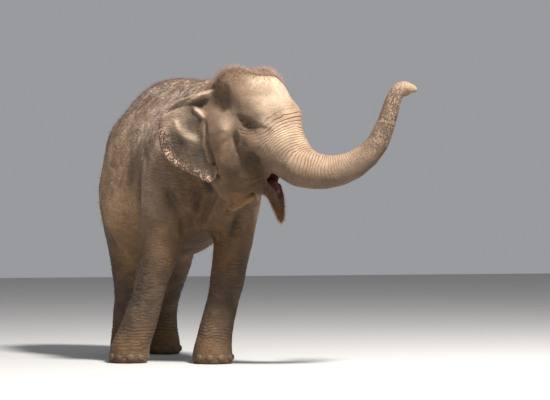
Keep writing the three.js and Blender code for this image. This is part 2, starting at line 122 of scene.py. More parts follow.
def normalsOf(piece):
    found = np.empty(len(piece.data.vertices) * 3, np.float32)
    piece.data.vertex_normals.foreach_get("vector", found)
    return found.reshape(-1, 3)


def edgesOf(piece):
    found = np.empty(len(piece.data.edges) * 2, np.int32)
    piece.data.edges.foreach_get("vertices", found)
    return found.reshape(-1, 2)


def store(piece, name, values):
    kind = "FLOAT" if values.ndim == 1 else "FLOAT_VECTOR"
    layer = piece.data.attributes.get(name) or piece.data.attributes.new(name, kind, "POINT")
    layer.data.foreach_set("value" if values.ndim == 1 else "vector", values.astype(np.float32).ravel())


def mark(piece, **values):
    # the same value at every point
    for name, value in values.items():
        store(piece, name, np.full(len(piece.data.vertices), float(value)))


def recall(piece, name):
    values = np.empty(len(piece.data.vertices), np.float32)
    piece.data.attributes[name].data.foreach_get("value", values)
    return values


def smoothstep(low, high, x):
    t = np.clip((x - low) / (high - low), 0, 1)
    return t * t * (3 - 2 * t)


def spline(stations, t):
    # a smooth curve through the stations, for t from 0 to 1
    stations = np.array(stations, np.float64)
    last = len(stations) - 1
    at = np.clip(np.asarray(t, np.float64), 0, 1) * last
    i = np.minimum(at.astype(int), last - 1)
    f = (at - i)[..., None]
    a, b, c, d = (stations[np.clip(i + k, 0, last)] for k in (-1, 0, 1, 2))
    return b + 0.5 * f * (c - a + f * (2 * a - 5 * b + 4 * c - d + f * (3 * (b - c) + d - a)))


def noise(co, size, seed=0):
    # smooth random bumps between about -1 and 1, one every size metres
    p = co.astype(np.float64) / size + 31.7 * (seed + 1)
    cell = np.floor(p).astype(np.int64)
    f = p - cell
    ease = f * f * f * (f * (f * 6 - 15) + 10)
    total = np.zeros(len(co))
    for dx in (0, 1):
        for dy in (0, 1):
            for dz in (0, 1):
                corner = cell + (dx, dy, dz)
                code = (corner[:, 0] * 73856093) ^ (corner[:, 1] * 19349663) ^ (corner[:, 2] * 83492791)
                code = (code ^ (code >> 13)) * 1274126177
                code = (code ^ (code >> 16)) & 0xFFFFFF
                turn = code * (2 * math.pi / 4096)
                tilt = ((code >> 12) & 0xFFF) / 2048.0 - 1
                flat = np.sqrt(np.maximum(1 - tilt * tilt, 0))
                gradient = np.stack([flat * np.cos(turn), flat * np.sin(turn), tilt], 1)
                near = (gradient * (f - (dx, dy, dz))).sum(1)
                share = np.where(dx, ease[:, 0], 1 - ease[:, 0]) * np.where(dy, ease[:, 1], 1 - ease[:, 1])
                total += near * share * np.where(dz, ease[:, 2], 1 - ease[:, 2])
    return (total * 1.6).astype(np.float32)


def relax(co, edges, strength, rounds):
    # each point moves towards the mean of its neighbours, by its own strength
    count = len(co)
    degree = np.bincount(edges.ravel(), minlength=count).clip(1)
    co = co.astype(np.float64)
    mean = np.empty_like(co)
    for _ in range(rounds):
        for axis in range(3):
            mean[:, axis] = np.bincount(edges[:, 0], co[edges[:, 1], axis], count)
            mean[:, axis] += np.bincount(edges[:, 1], co[edges[:, 0], axis], count)
        co += (mean / degree[:, None] - co) * strength[:, None]
    return co


def bell(x, width):
    return np.exp(-(x / width) ** 2)


def lineDistance(co, path):
    # how far each point is from a path of straight lines, in two or three dimensions
    nearest = np.full(len(co), np.inf)
    path = np.array(path, np.float64)
    for a, b in zip(path[:-1], path[1:]):
        along = b - a
        t = np.clip(((co - a) @ along) / (along @ along), 0, 1)
        nearest = np.minimum(nearest, np.linalg.norm(co - a - t[:, None] * along, axis=1))
    return nearest


def pathDistance(co, path):
    if len(path) > 1:
        return lineDistance(co, path)
    return np.linalg.norm(co - np.array(path[0]), axis=1)


def creases(phase, width):
    # 1 in the bottom of a crease, at each whole number of the phase, and 0 between the creases
    return bell(np.abs(phase - np.round(phase)), width)


@contextmanager
def editing(piece, chosen=None):
    # edit mode with all points selected, or with the chosen ones
    activate(piece)
    bpy.ops.object.mode_set(mode="EDIT")
    if chosen is None:
        bpy.ops.mesh.select_all(action="SELECT")
    else:
        bpy.ops.mesh.select_mode(type="VERT")
        bpy.ops.mesh.select_all(action="DESELECT")
        bpy.ops.object.mode_set(mode="OBJECT")
        piece.data.vertices.foreach_set("select", chosen)
        piece.data.update()
        bpy.ops.object.mode_set(mode="EDIT")
    yield
    bpy.ops.object.mode_set(mode="OBJECT")


def refine(piece, chosen):
    # cuts each face whose corners are all chosen into four
    with editing(piece, chosen):
        bpy.ops.mesh.select_mode(type="FACE")
        bpy.ops.mesh.subdivide(number_cuts=1)


def roundOff(piece, reach, voxel):
    # wipes out facets narrower than reach metres, without thinning what is wider
    widest = reach.max()
    rounds = math.ceil(2 * widest ** 2 / (0.8 * voxel ** 2))
    strength = 0.8 * (reach / widest) ** 2
    edges = edgesOf(piece)
    once = relax(pointsOf(piece), edges, strength, rounds)
    twice = relax(once, edges, strength, rounds)
    placePoints(piece, 2 * once - twice)


def fuse(parts, name, voxel, keepMarks):
    # makes one closed piece out of solids that overlap
    activate(*parts)
    bpy.ops.object.join()
    piece = parts[0]
    piece.name = name
    piece.parent = None
    piece.data.remesh_voxel_size = voxel
    piece.data.use_remesh_preserve_attributes = keepMarks
    bpy.ops.object.voxel_remesh()
    return piece


ear = {
    "root": (-0.385, 0.262, 0.285),  # forward, sideways and up from the middle of the head
    "swing": {1: math.radians(60), -1: math.radians(32)},
    "lean": {1: 0.150, -1: 0.0},
    "columns": 56,
    "rows": 90,
    "thickness": 0.016,
    "bow": 0.045,  # how far the middle of the flap stands out
    "furrow": 0.014,  # depth of the furrow under the curled top edge
    "wave": 0.007,  # height of the waves along the rear edge
    "standOff": 0.050,  # how far the free front edge stands off the jaw
}
# the front and the rear edge of the ear from the top down, as [back, up] from its root
earFront = [
    [-0.010, 0.005], [0.000, -0.150], [-0.008, -0.276], [-0.045, -0.440], [-0.078, -0.610],
    [-0.050, -0.715], [-0.020, -0.750],
]
earRear = [
    [0.150, -0.050], [0.300, -0.115], [0.408, -0.195], [0.442, -0.300], [0.432, -0.430],
    [0.372, -0.550], [0.245, -0.642], [0.088, -0.715], [-0.010, -0.756],
]
# raised folds of the ear as a path of [back, up], a width and a height, then its bumps and hollows
earRidges = [
    ([[0.130, -0.140], [0.090, -0.176], [0.050, -0.212], [0.018, -0.276], [0.005, -0.330]], 0.017, 0.030),
    ([[0.290, -0.250], [0.270, -0.320], [0.215, -0.380], [0.120, -0.410]], 0.026, 0.015),
    ([[0.400, -0.300], [0.360, -0.420], [0.250, -0.540], [0.090, -0.640]], 0.035, 0.008),
    ([[0.350, -0.200], [0.250, -0.190], [0.150, -0.230]], 0.030, 0.010),
]
earBumps = [
    ((0.215, -0.320), 0.070, 0.018),
    ((0.085, -0.350), 0.060, -0.030),
    ((0.065, -0.130), 0.040, -0.026),
]
earCurl = {"rows": 0.060, "radius": 0.016, "turn": 2.2}  # the top edge curls over forwards


def earOnHead(side, back, rise, out):
    forwardPlace, sideways, up = ear["root"]
    swing = ear["swing"][side]
    u = forwardPlace - back * math.cos(swing) + out * math.sin(swing)
    v = sideways + back * math.sin(swing) + out * math.cos(swing)
    return np.stack([u, side * v, up + rise], -1)


def makeEar(side):
    bpy.ops.object.select_all(action="DESELECT")
    bpy.ops.mesh.primitive_grid_add(x_subdivisions=ear["columns"], y_subdivisions=ear["rows"], size=1)
    piece = bpy.context.active_object
    piece.name = "earFlap"
    flat = pointsOf(piece)
    rearward = flat[:, 0] + 0.5  # 0 at the front edge and 1 at the rear
    down = 0.5 - flat[:, 1]  # 0 at the top and 1 at the lower tip
    front = spline(earFront, down)
    rear = spline(earRear, down)
    outline = front + (rear - front) * rearward[:, None]
    back, rise = outline[:, 0], outline[:, 1]
    pushed = ear["lean"][side] * np.sin(down * math.pi / 2)
    flatPlace = np.stack([back, rise], 1)
    out = ear["bow"] * np.sin(np.pi * np.maximum(rearward, 0.1)) * (1 - 0.6 * down)
    # the top edge rolls over, with a furrow under the roll
    curled = earCurl["turn"] * np.clip(1 - down / earCurl["rows"], 0, 1)
    radius = earCurl["radius"] * (1 - 0.45 * rearward) * smoothstep(1.02, 0.86, rearward)
    out += radius * (1 - np.cos(curled))
    out += 0.020 * smoothstep(0.12, 0.04, down) * smoothstep(0, 0.3, rearward)
    furrow = smoothstep(0.0, 0.2, rearward) * smoothstep(1.0, 0.7, rearward)
    out -= ear["furrow"] * bell(down - 0.125, 0.030) * furrow
    rise = np.where(down < earCurl["rows"], rise - 0.012 + radius * np.sin(curled), rise)
    for path, width, height in earRidges:
        out += height * bell(lineDistance(flatPlace, path), width)
    for (backAt, riseAt), width, height in earBumps:
        out += height * bell(np.hypot(back - backAt, rise - riseAt), width)
    # the rear edge waves, and the free front edge stands off the jaw
    out += ear["wave"] * smoothstep(0.55, 1, rearward) * np.sin(down * 19 + 0.8)
    out += 0.004 * noise(flatPlace @ np.eye(2, 3), 0.12, 4)
    out += ear["standOff"] * smoothstep(0.24, 0.0, rearward) * smoothstep(0.28, 0.48, down)
    place = earOnHead(side, back, rise, out)
    place[:, 1] += side * pushed
    placePoints(piece, offHead(place))
    apply(piece, "SOLIDIFY", thickness=ear["thickness"], offset=0)
    return piece


skinSizes = {
    "voxel": 0.010,
    "overlap": 0.0016,  # each solid is let out by this much, so that the cuts between them close
    "socket": 0.004,  # how much further the filling of each eye socket is let out
    "triangles": 196000,
}


def copyOf(name):
    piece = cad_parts[name].copy()
    piece.data = piece.data.copy()
    piece.name = "flesh"
    bpy.context.scene.collection.objects.link(piece)
    piece.hide_set(False)
    activate(piece)
    bpy.ops.mesh.customdata_custom_splitnormals_clear()
    with editing(piece):
        bpy.ops.mesh.remove_doubles(threshold=1e-5)
    placePoints(piece, pointsOf(piece) + normalsOf(piece) * skinSizes["overlap"])
    return piece


# rolls of flesh as [forward, sideways, up, radius] on the head, and how flat each is across
rolls = {
    "tongue": ([
        [0.020, 0, -0.452, 0.030], [0.070, 0, -0.470, 0.034], [0.112, 0, -0.510, 0.030],
        [0.136, 0, -0.556, 0.022],
    ], 0.5),
    "dewlap": ([
        [-0.470, 0, -0.540, 0.050], [-0.440, 0, -0.630, 0.040], [-0.360, 0, -0.672, 0.032],
        [-0.260, 0, -0.640, 0.030], [-0.120, 0, -0.570, 0.036],
    ], 1.0),
}
# the thick upper rim of each ear, as [back, up, outwards, radius] from its root
earRoll = [
    [-0.045, 0.020, 0.010, 0.020], [0.060, -0.006, 0.032, 0.021], [0.160, -0.036, 0.042, 0.018],
    [0.270, -0.078, 0.040, 0.015], [0.370, -0.146, 0.022, 0.010],
]
earRollFlatness = 0.8


def makeRoll(stations, flatter):
    bpy.ops.object.select_all(action="DESELECT")
    bpy.ops.mesh.primitive_uv_sphere_add(segments=24, ring_count=28, radius=1)
    piece = bpy.context.active_object
    ball = pointsOf(piece)
    t = ball[:, 2] * 0.5 + 0.5
    route = spline(stations, t)
    t = np.clip(t, 0, 0.98)
    ahead = (spline(stations, t + 0.02) - spline(stations, t))[:, :3]
    ahead /= np.linalg.norm(ahead, axis=1)[:, None]
    sideways = np.cross(ahead, np.cross([0.0, 1.0, 0.0], ahead))
    sideways /= np.linalg.norm(sideways, axis=1)[:, None]
    third = np.cross(ahead, sideways)
    spread = ball[:, :2] / np.maximum(np.hypot(ball[:, 0], ball[:, 1]), 1e-6)[:, None]
    spread *= (1 - ball[:, 2:] ** 6) ** 0.5 * route[:, 3:]
    place = route[:, :3] + sideways * spread[:, :1] + third * spread[:, 1:] * flatter
    placePoints(piece, offHead(place))
    return piece


# how wide a facet of each solid is smoothed away, in metres
facetReach = {
    "forequarters": 0.062, "hindquarters": 0.062, "neck": 0.050, "head": 0.027, "lower_jaw": 0.024,
    "tail": 0.014, "trunk_root": 0.040, "trunk_upper": 0.034, "trunk_middle": 0.030,
    "trunk_lower": 0.022, "trunk_tip": 0.010, "leg": 0.046, "ear": 0.006,
}


def dropCrumbs(piece):
    # takes away the small closed bubbles that the remesh leaves inside
    edges = edgesOf(piece)
    body = np.arange(len(piece.data.vertices))
    settled = False
    while not settled:
        lowest = body[edges].min(1)
        spread = body.copy()
        np.minimum.at(spread, edges[:, 0], lowest)
        np.minimum.at(spread, edges[:, 1], lowest)
        spread = spread[spread]
        settled = (spread == body).all()
        body = spread
    with editing(piece, body != np.bincount(body).argmax()):
        bpy.ops.mesh.delete(type="VERT")


def makeSkin():
    parts = []

    def add(part, **marks):
        mark(part, **marks)
        parts.append(part)

    for name in fleshNodes:
        add(copyOf(name), reach=facetReach.get(name, facetReach["leg"]))
    for side in (1, -1):
        add(makeEar(side), reach=facetReach["ear"], flap=1)
    for stations, flatter in rolls.values():
        add(makeRoll(stations, flatter), reach=facetReach["ear"])
    for side in (1, -1):
        back, rise, out, radius = np.array(earRoll).T
        place = earOnHead(side, back, rise, out)
        roll = makeRoll(np.concatenate([place, radius[:, None]], 1), earRollFlatness)
        add(roll, reach=facetReach["ear"], flap=1)
    for name in ("eye_left", "eye_right"):
        # the sockets are filled here, and the lids are made afterwards
        part = copyOf(name)
        placePoints(part, pointsOf(part) + normalsOf(part) * skinSizes["socket"])
        add(part, reach=facetReach["head"])
    piece = fuse(parts, "skin", skinSizes["voxel"], True)
    dropCrumbs(piece)
    for spare in list(piece.data.uv_layers):
        piece.data.uv_layers.remove(spare)
    print("skin joined and remeshed:", len(piece.data.vertices), "points")
    return piece


trunkLine = spline(trunkRoute, np.linspace(0, 1, 420))
trunkLine[:, :3] += shoulderPlace
trunkSteps = np.linalg.norm(np.diff(trunkLine[:, :3], axis=0), axis=1)
trunkLength = np.concatenate([[0], np.cumsum(trunkSteps)])
trunkWays = np.gradient(trunkLine[:, :3], axis=0)
trunkWays /= np.linalg.norm(trunkWays, axis=1)[:, None]
trunkUppers = np.cross(trunkWays, np.array(leftward)[None])
trunkUppers /= np.linalg.norm(trunkUppers, axis=1)[:, None]


def onTrunk(co):
    # how far down the trunk each point lies, and its place across it towards the upper side and the left
    along = np.full(len(co), -1.0)
    across = np.full((len(co), 2), 9.0)
    head = inHead(co)
    near = np.nonzero((head[:, 0] > -0.10) & (head[:, 2] > -0.62))[0]
    for chunk in np.array_split(near, max(1, len(near) // 8000)):
        apart = np.linalg.norm(co[chunk, None] - trunkLine[None, :, :3].astype(np.float32), axis=2)
        best = apart.argmin(1)
        spoke = co[chunk] - trunkLine[best, :3]
        along[chunk] = trunkLength[best] + (spoke * trunkWays[best]).sum(1)
        across[chunk, 0] = (spoke * trunkUppers[best]).sum(1)
        across[chunk, 1] = spoke @ np.array(leftward)
    return along, across


skin = makeSkin()
edges = edgesOf(skin)
reach = recall(skin, "reach").astype(np.float64)
reach = relax(np.stack([reach] * 3, 1), edges, np.full(len(reach), 0.8), 30)[:, 0]
reach = np.minimum(reach, np.maximum(recall(skin, "reach"), 0.012))
roundOff(skin, reach, skinSizes["voxel"])
print("skin smoothed")


def eyeDistance(co):
    return np.minimum(*[np.linalg.norm(co - np.array(eyePlaces[side]), axis=1) for side in (1, -1)])


head = inHead(pointsOf(skin))
refine(skin, (head[:, 0] > -0.30) & (head[:, 2] > -0.85))
for distance in (0.100, 0.070, 0.048):
    refine(skin, eyeDistance(pointsOf(skin)) < distance)
print("skin refined:", len(skin.data.vertices), "points")

# masses and hollows of the head's sides as [(forward, up), (length, height), how far out]
faceMasses = [
    ((-0.275, 0.200), (0.110, 0.120), -0.008),  # temple
    ((-0.150, 0.190), (0.035, 0.090), 0.010),
    ((-0.190, -0.030), (0.058, 0.055), 0.036),  # cheekbone
    ((-0.270, -0.070), (0.060, 0.035), 0.012),
    ((0.010, -0.010), (0.080, 0.045), -0.014),  # round the eye
    ((0.030, -0.140), (0.065, 0.050), 0.020),  # pad under the eye
    ((-0.115, -0.120), (0.028, 0.070), -0.034),  # behind the eye
    ((-0.160, -0.340), (0.095, 0.120), 0.026),  # cheek
    ((0.160, -0.260), (0.070, 0.120), 0.012),  # side of the trunk's root
    ((-0.250, -0.470), (0.080, 0.050), -0.012),
    ((-0.300, -0.180), (0.040, 0.120), -0.012),
]
# folds and furrows of the head's sides: path of (forward, up), width, how far out
faceFolds = [
    ([(-0.070, 0.048), (0.000, 0.040), (0.080, 0.010)], 0.010, -0.006),
    ([(-0.060, -0.040), (0.000, -0.052), (0.070, -0.048)], 0.009, -0.005),
    ([(-0.050, -0.066), (0.020, -0.080), (0.090, -0.066)], 0.009, -0.005),
    ([(0.040, -0.410), (-0.030, -0.450), (-0.120, -0.470)], 0.012, -0.008),
    ([(0.050, -0.440), (-0.020, -0.490), (-0.100, -0.520)], 0.010, -0.007),
    ([(-0.250, 0.120), (-0.215, 0.230), (-0.170, 0.320)], 0.020, -0.008),
    ([
        (-0.400, 0.020), (-0.385, -0.100), (-0.360, -0.220), (-0.340, -0.330), (-0.330, -0.420),
    ], 0.024, -0.036),
]
# steps across the head's sides: the edge as forward and up, how deep the side below it drops, how soon
# it recovers, between which places ahead the step starts and ends, and how far its edge stands out
faceSteps = {
    "brow": {
        "forward": [-0.12, -0.06, 0.06, 0.18, 0.26], "up": [0.095, 0.087, 0.035, -0.017, -0.07],
        "drop": 0.013, "recovers": 0.080, "from": (-0.19, -0.03), "to": (0.27, 0.10), "lip": 0.006,
    },
    "pad": {
        "forward": [-0.10, -0.03, 0.03, 0.08], "up": [-0.185, -0.212, -0.215, -0.245],
        "drop": 0.022, "recovers": 0.065, "from": (-0.13, -0.03), "to": (0.12, 0.06), "lip": 0.008,
    },
    "jawRim": {
        "forward": [-0.28, -0.15, -0.03, 0.05], "up": [-0.530, -0.560, -0.555, -0.520],
        "drop": 0.020, "recovers": 0.040, "from": (-0.33, -0.24), "to": (0.08, 0.00), "lip": 0.008,
    },
}
# the edge where the side of the trunk's root stands out from the hollow behind it
rootEdge = {"up": [-0.47, -0.37, -0.28, -0.18], "forward": [0.086, 0.058, 0.050, 0.070]}


def sculptHead(co, normals):
    head = inHead(co)
    side = smoothstep(0.03, 0.10, np.abs(head[:, 1]))
    onHead = side * smoothstep(-0.42, -0.36, head[:, 0]) * (1 - recall(skin, "flap"))
    flat = head[:, [0, 2]].astype(np.float64)
    height = np.zeros(len(co))
    for middle, spread, out in faceMasses:
        height += out * bell(np.linalg.norm((flat - middle) / spread, axis=1), 1)
    for path, width, out in faceFolds:
        height += out * bell(lineDistance(flat, path), width)
    for step in faceSteps.values():
        above = flat[:, 1] - np.interp(flat[:, 0], step["forward"], step["up"])
        share = smoothstep(*step["from"], flat[:, 0]) * smoothstep(*step["to"], flat[:, 0])
        drop = step["drop"] * smoothstep(0.010, -0.022, above) * bell(np.minimum(above, 0), step["recovers"])
        height += share * (step["lip"] * bell(above - 0.018, 0.030) - drop)
    past = flat[:, 0] - np.interp(flat[:, 1], rootEdge["up"], rootEdge["forward"])
    tall = smoothstep(-0.17, -0.29, flat[:, 1]) * smoothstep(-0.56, -0.46, flat[:, 1])
    recess = smoothstep(0.007, -0.013, past) * bell(np.minimum(past, 0), 0.085)
    height += tall * (0.012 * bell(past - 0.02, 0.035) - 0.028 * recess)
    return co + normals * (height * onHead)[:, None]


placePoints(skin, sculptHead(pointsOf(skin), normalsOf(skin)))
print("head shaped")

eye = {
    "radius": 0.0235,
    "length": 0.0215,  # half the opening between the lids
    "height": 0.0125,
    "lowerLid": 0.85,  # how much of that height the lower lid leaves open
    "lid": 0.0026,  # thickness of the lids
    "proud": 0.006,  # how far the eyeball stands out of the hollow
    # depth, place and width of the lids' folds, counted outwards from the edge of the lids
    "folds": {"near": (0.0034, 0.72, 0.12), "middle": (0.0036, 1.45, 0.16), "below": (0.0030, 2.3, 0.20)},
    "edge": 0.0016,  # how far the lids' edge is raised
    "upperSwell": 0.0060,  # how far the upper lid swells out
    "pupil": (0.003, 0.002, 0.002, 1),
    "iris": ((0.025, 0.009, 0.004, 1), (0.110, 0.045, 0.016, 1)),  # its darkest and lightest brown
    "outside": (0.030, 0.018, 0.012, 1),
}
eyeCentres = {}


def eyeAxes(side):
    outward = (leftward * side + forward * 0.22 - upward * 0.06).normalized()
    ahead = (forward - outward * forward.dot(outward) - upward * 0.16).normalized()
    ahead = (ahead - outward * ahead.dot(outward)).normalized()
    return np.array([ahead, outward.cross(ahead) * side * -1, outward])


def sculptEye(co, side):
    axes = eyeAxes(side)
    local = (co - np.array(eyePlaces[side])) @ axes.T
    wide = np.hypot(local[:, 0], local[:, 1])
    surface = local[(wide < 0.020) & (np.abs(local[:, 2]) < 0.08), 2].mean()
    depth = surface - eye["radius"] + eye["proud"]
    eyeCentres[side] = np.array(eyePlaces[side]) + axes[2] * depth
    local[:, 2] -= depth
    touched = (np.linalg.norm(local, axis=1) < 0.095) & (local[:, 2] > -0.06)
    ahead, above, out = local[touched].T
    lidRadius = eye["radius"] + eye["lid"]
    # the rim is 0 on the edge of the lids, and grows outwards
    sag = np.where(above > 0, 1.0, eye["lowerLid"])
    rim = np.hypot(ahead / eye["length"], above / (eye["height"] * sag)) - 1
    under = lidRadius ** 2 - ahead ** 2 - above ** 2
    onBall = np.sqrt(np.maximum(under, (lidRadius * 0.42) ** 2))
    lifted = out + (onBall - out) * smoothstep(2.1, 0.25, rim)
    # the lids' folds run above and below the eye and fade out at its corners
    fold = rim + 0.16 * noise(co[touched], 0.016, 51)
    over = np.abs(above) / np.maximum(np.hypot(ahead, above), 1e-4)

    def foldAt(name, share):
        deep, at, width = eye["folds"][name]
        return deep * share * bell(fold - at, width)

    lifted += eye["edge"] * bell(rim - 0.14, 0.14)
    lifted -= foldAt("near", 0.35 + 0.65 * over)
    lifted -= foldAt("middle", over ** 2)
    lifted -= foldAt("below", over ** 2) * smoothstep(0.2, -0.2, above / 0.02)
    lifted += eye["upperSwell"] * bell(rim - 1.1, 0.42) * smoothstep(0.0, 0.02, above)
    # the lids stay outside the ball, and sink behind it between them
    ballFront = np.sqrt(np.maximum((eye["radius"] + 0.0011) ** 2 - ahead ** 2 - above ** 2, 0))
    onFront = np.hypot(ahead, above) < eye["radius"] + 0.001
    lifted = np.maximum(lifted, np.where(onFront, ballFront, -1))
    lifted -= (onBall + 0.006) * smoothstep(0.0, -0.14, rim)
    local[touched, 2] = np.where(rim < 3.6, lifted, out)
    local[:, 2] += depth
    return local @ axes + np.array(eyePlaces[side])


co = pointsOf(skin)
for side in (1, -1):
    co = sculptEye(co, side)
placePoints(skin, co)
print("eyelids shaped")


def trunkCreases(co):
    # phase and depth of the rings round the trunk
    along, across = onTrunk(co)
    off = np.linalg.norm(across, axis=1)
    girth = np.interp(along, trunkLength, trunkLine[:, 3])
    spacing = np.interp(trunkLength, [0, 0.25, 0.6, 1.1, 1.7], [0.030, 0.028, 0.024, 0.019, 0.015])
    count = np.concatenate([[0], np.cumsum(np.diff(trunkLength) / spacing[1:])])
    phase = np.interp(along, trunkLength, count) + np.minimum(along, 0) / 0.032
    phase += 0.80 * noise(co, 0.16, 1) + 0.25 * noise(co, 0.05, 2)
    upper = across[:, 0] / np.maximum(off, 1e-4)
    depth = smoothstep(-0.08, 0.10, along + 0.06 * upper) * smoothstep(1.6, 0.5, along)
    depth *= 0.20 + 0.80 * smoothstep(-0.6, 0.6, upper)
    depth *= smoothstep(1.75, 1.25, off / np.maximum(girth, 0.03))
    depth *= np.clip(0.8 + 0.5 * noise(co, 0.09, 3), 0.2, 1.2)
    return phase, depth * (along > -0.25)


def legCreases(co):
    # phase and depth of the folds round the ankles and knees
    place = co - shoulderPlace
    hind = smoothstep(0.5, 0.7, place[:, 1])
    spacing = 0.028 + 0.010 * smoothstep(0.3, 0.9, place[:, 2])
    phase = place[:, 2] / spacing + 0.9 * noise(co * (1, 1, 0.6), 0.17, 5) + 0.35 * noise(co, 0.06, 6)
    ankle = bell(place[:, 2] - 0.255, 0.085) + 0.5 * bell(place[:, 2] - 0.60, 0.12)
    return phase, ankle * (0.75 + 0.4 * hind) * (place[:, 2] < 0.95)


# furrows of the body: path of [x, y, z] from the middle of the shoulders, width, how far out
bodyFolds = [
    ([
        [-0.12, -0.48, 1.56], [-0.055, -0.49, 1.436], [-0.09, -0.38, 1.267], [-0.15, -0.25, 1.15],
    ], 0.034, -0.042),
    ([
        [-0.22, -0.42, 1.56], [-0.175, -0.40, 1.42], [-0.19, -0.30, 1.28], [-0.21, -0.18, 1.16],
    ], 0.032, -0.034),
    ([[-0.30, -0.36, 1.60], [-0.27, -0.34, 1.45], [-0.24, -0.28, 1.30]], 0.026, -0.020),
    ([
        [-0.41, -0.26, 1.48], [-0.30, -0.27, 1.30], [-0.21, -0.19, 1.16], [-0.16, -0.12, 1.08],
    ], 0.042, -0.038),
    ([[0.02, -0.50, 1.42], [0.00, -0.40, 1.26], [0.00, -0.28, 1.13]], 0.030, -0.030),
    ([[0.12, -0.48, 1.46], [0.10, -0.42, 1.28], [0.06, -0.32, 1.12]], 0.030, -0.028),
    ([[0.30, -0.40, 1.50], [0.24, -0.34, 1.28], [0.18, -0.24, 1.12]], 0.036, -0.022),
    ([[-0.40, -0.42, 1.95], [-0.42, -0.36, 1.70], [-0.38, -0.34, 1.48]], 0.035, -0.022),
    ([[0.44, -0.36, 1.90], [0.46, -0.30, 1.66], [0.42, -0.28, 1.46]], 0.035, -0.022),
    ([[-0.54, 0.13, 1.58], [-0.55, 0.14, 1.38], [-0.50, 0.18, 1.12]], 0.060, -0.034),
    ([[0.54, 0.13, 1.58], [0.55, 0.14, 1.38], [0.48, 0.14, 1.10]], 0.060, -0.034),
    ([[-0.60, 0.92, 1.30], [-0.52, 0.98, 1.12], [-0.40, 1.02, 0.98]], 0.060, -0.018),
    ([[0.50, 0.92, 1.30], [0.40, 1.00, 1.12], [0.26, 1.06, 0.98]], 0.060, -0.018),
    ([[-0.20, -0.10, 1.08], [-0.02, -0.16, 1.11], [0.16, -0.12, 1.08]], 0.030, 0.016),
]


def foldsOfBody(co):
    # long folds of the neck, shoulder, flank and rump as how far out
    place = (co - shoulderPlace).astype(np.float64)
    height = np.zeros(len(co))
    for path, width, out in bodyFolds:
        near = np.all(np.abs(place - np.mean(path, axis=0)) < 0.75, axis=1)
        away = lineDistance(place[near], path)
        height[near] += out * (bell(away, width) - 0.35 * bell(away - width * 2.2, width))
    return height


relief = {
    # depths in metres
    "rings": 0.0048,  # round the trunk
    "ankles": 0.0055,  # folds round the ankles and knees
    "wrinkles": 0.0040,  # of the body
    # heights and widths in metres
    "swells": (0.006, 0.26),
    "lumps": (0.0020, 0.075),
}


def sculptHide(co, normals):
    away = smoothstep(0.05, 0.09, eyeDistance(co))
    phase, depth = trunkCreases(co)
    height = -relief["rings"] * creases(phase, 0.17) * depth + 0.0010 * depth
    phase, depth = legCreases(co)
    height -= relief["ankles"] * creases(phase, 0.24) * depth
    height += foldsOfBody(co)
    head = inHead(co)
    body = smoothstep(-0.25, -0.55, head[:, 0]) * smoothstep(0.25, 0.7, co[:, 2])
    place = (co - shoulderPlace) * (1, 1, 0.8)
    wrinkle = 1 - np.abs(noise(place, 0.10, 8)) * 2.4
    (swell, swellWidth), (lump, lumpWidth) = relief["swells"], relief["lumps"]
    wrinkled = relief["wrinkles"] * np.clip(wrinkle, 0, 1) ** 2
    height += body * (swell * noise(co, swellWidth, 7) - wrinkled)
    height += lump * noise(co, lumpWidth, 9)
    return co + normals * (height * away)[:, None]


co = sculptHide(pointsOf(skin), normalsOf(skin))
co[:, 2] = np.maximum(co[:, 2], 0)
placePoints(skin, co)
print("hide sculpted")

apply(skin, "TRIANGULATE")
faces = len(skin.data.polygons)
if faces > skinSizes["triangles"]:
    # the finest points lie round the eyes, and those stay
    group = skin.vertex_groups.new(name="loose")
    freedom = ((1.0, 0.100, 99), (0.4, 0.070, 0.100), (0.12, 0.045, 0.070), (0.03, 0, 0.045))
    for share, low, high in freedom:
        away = eyeDistance(pointsOf(skin))
        group.add(np.nonzero((away >= low) & (away < high))[0].tolist(), share, "REPLACE")
    ratio = skinSizes["triangles"] / faces
    apply(skin, "DECIMATE", ratio=ratio, vertex_group="loose", vertex_group_factor=1.0)
    skin.vertex_groups.clear()
print("skin of", len(skin.data.polygons), "triangles")

pigments = {  # red, green and blue as linear light
    "hide": (0.158, 0.098, 0.060),
    "pale": (0.480, 0.352, 0.245),
    # pale dusty skin with painted sunlight on it, for the top of the head
    "paleAndSunlit": (0.860, 0.720, 0.560),
    # dark skin, also laid as painted shade in hollows, furrows and under the body
    "dark": (0.036, 0.0225, 0.0135),
    "warm": (0.170, 0.082, 0.022),
    "pink": (0.600, 0.390, 0.270),
    "mouth": (0.085, 0.022, 0.017),
    "dust": (0.520, 0.420, 0.335),
    "ochre": (0.310, 0.178, 0.082),
    "tan": (0.470, 0.300, 0.175),
}
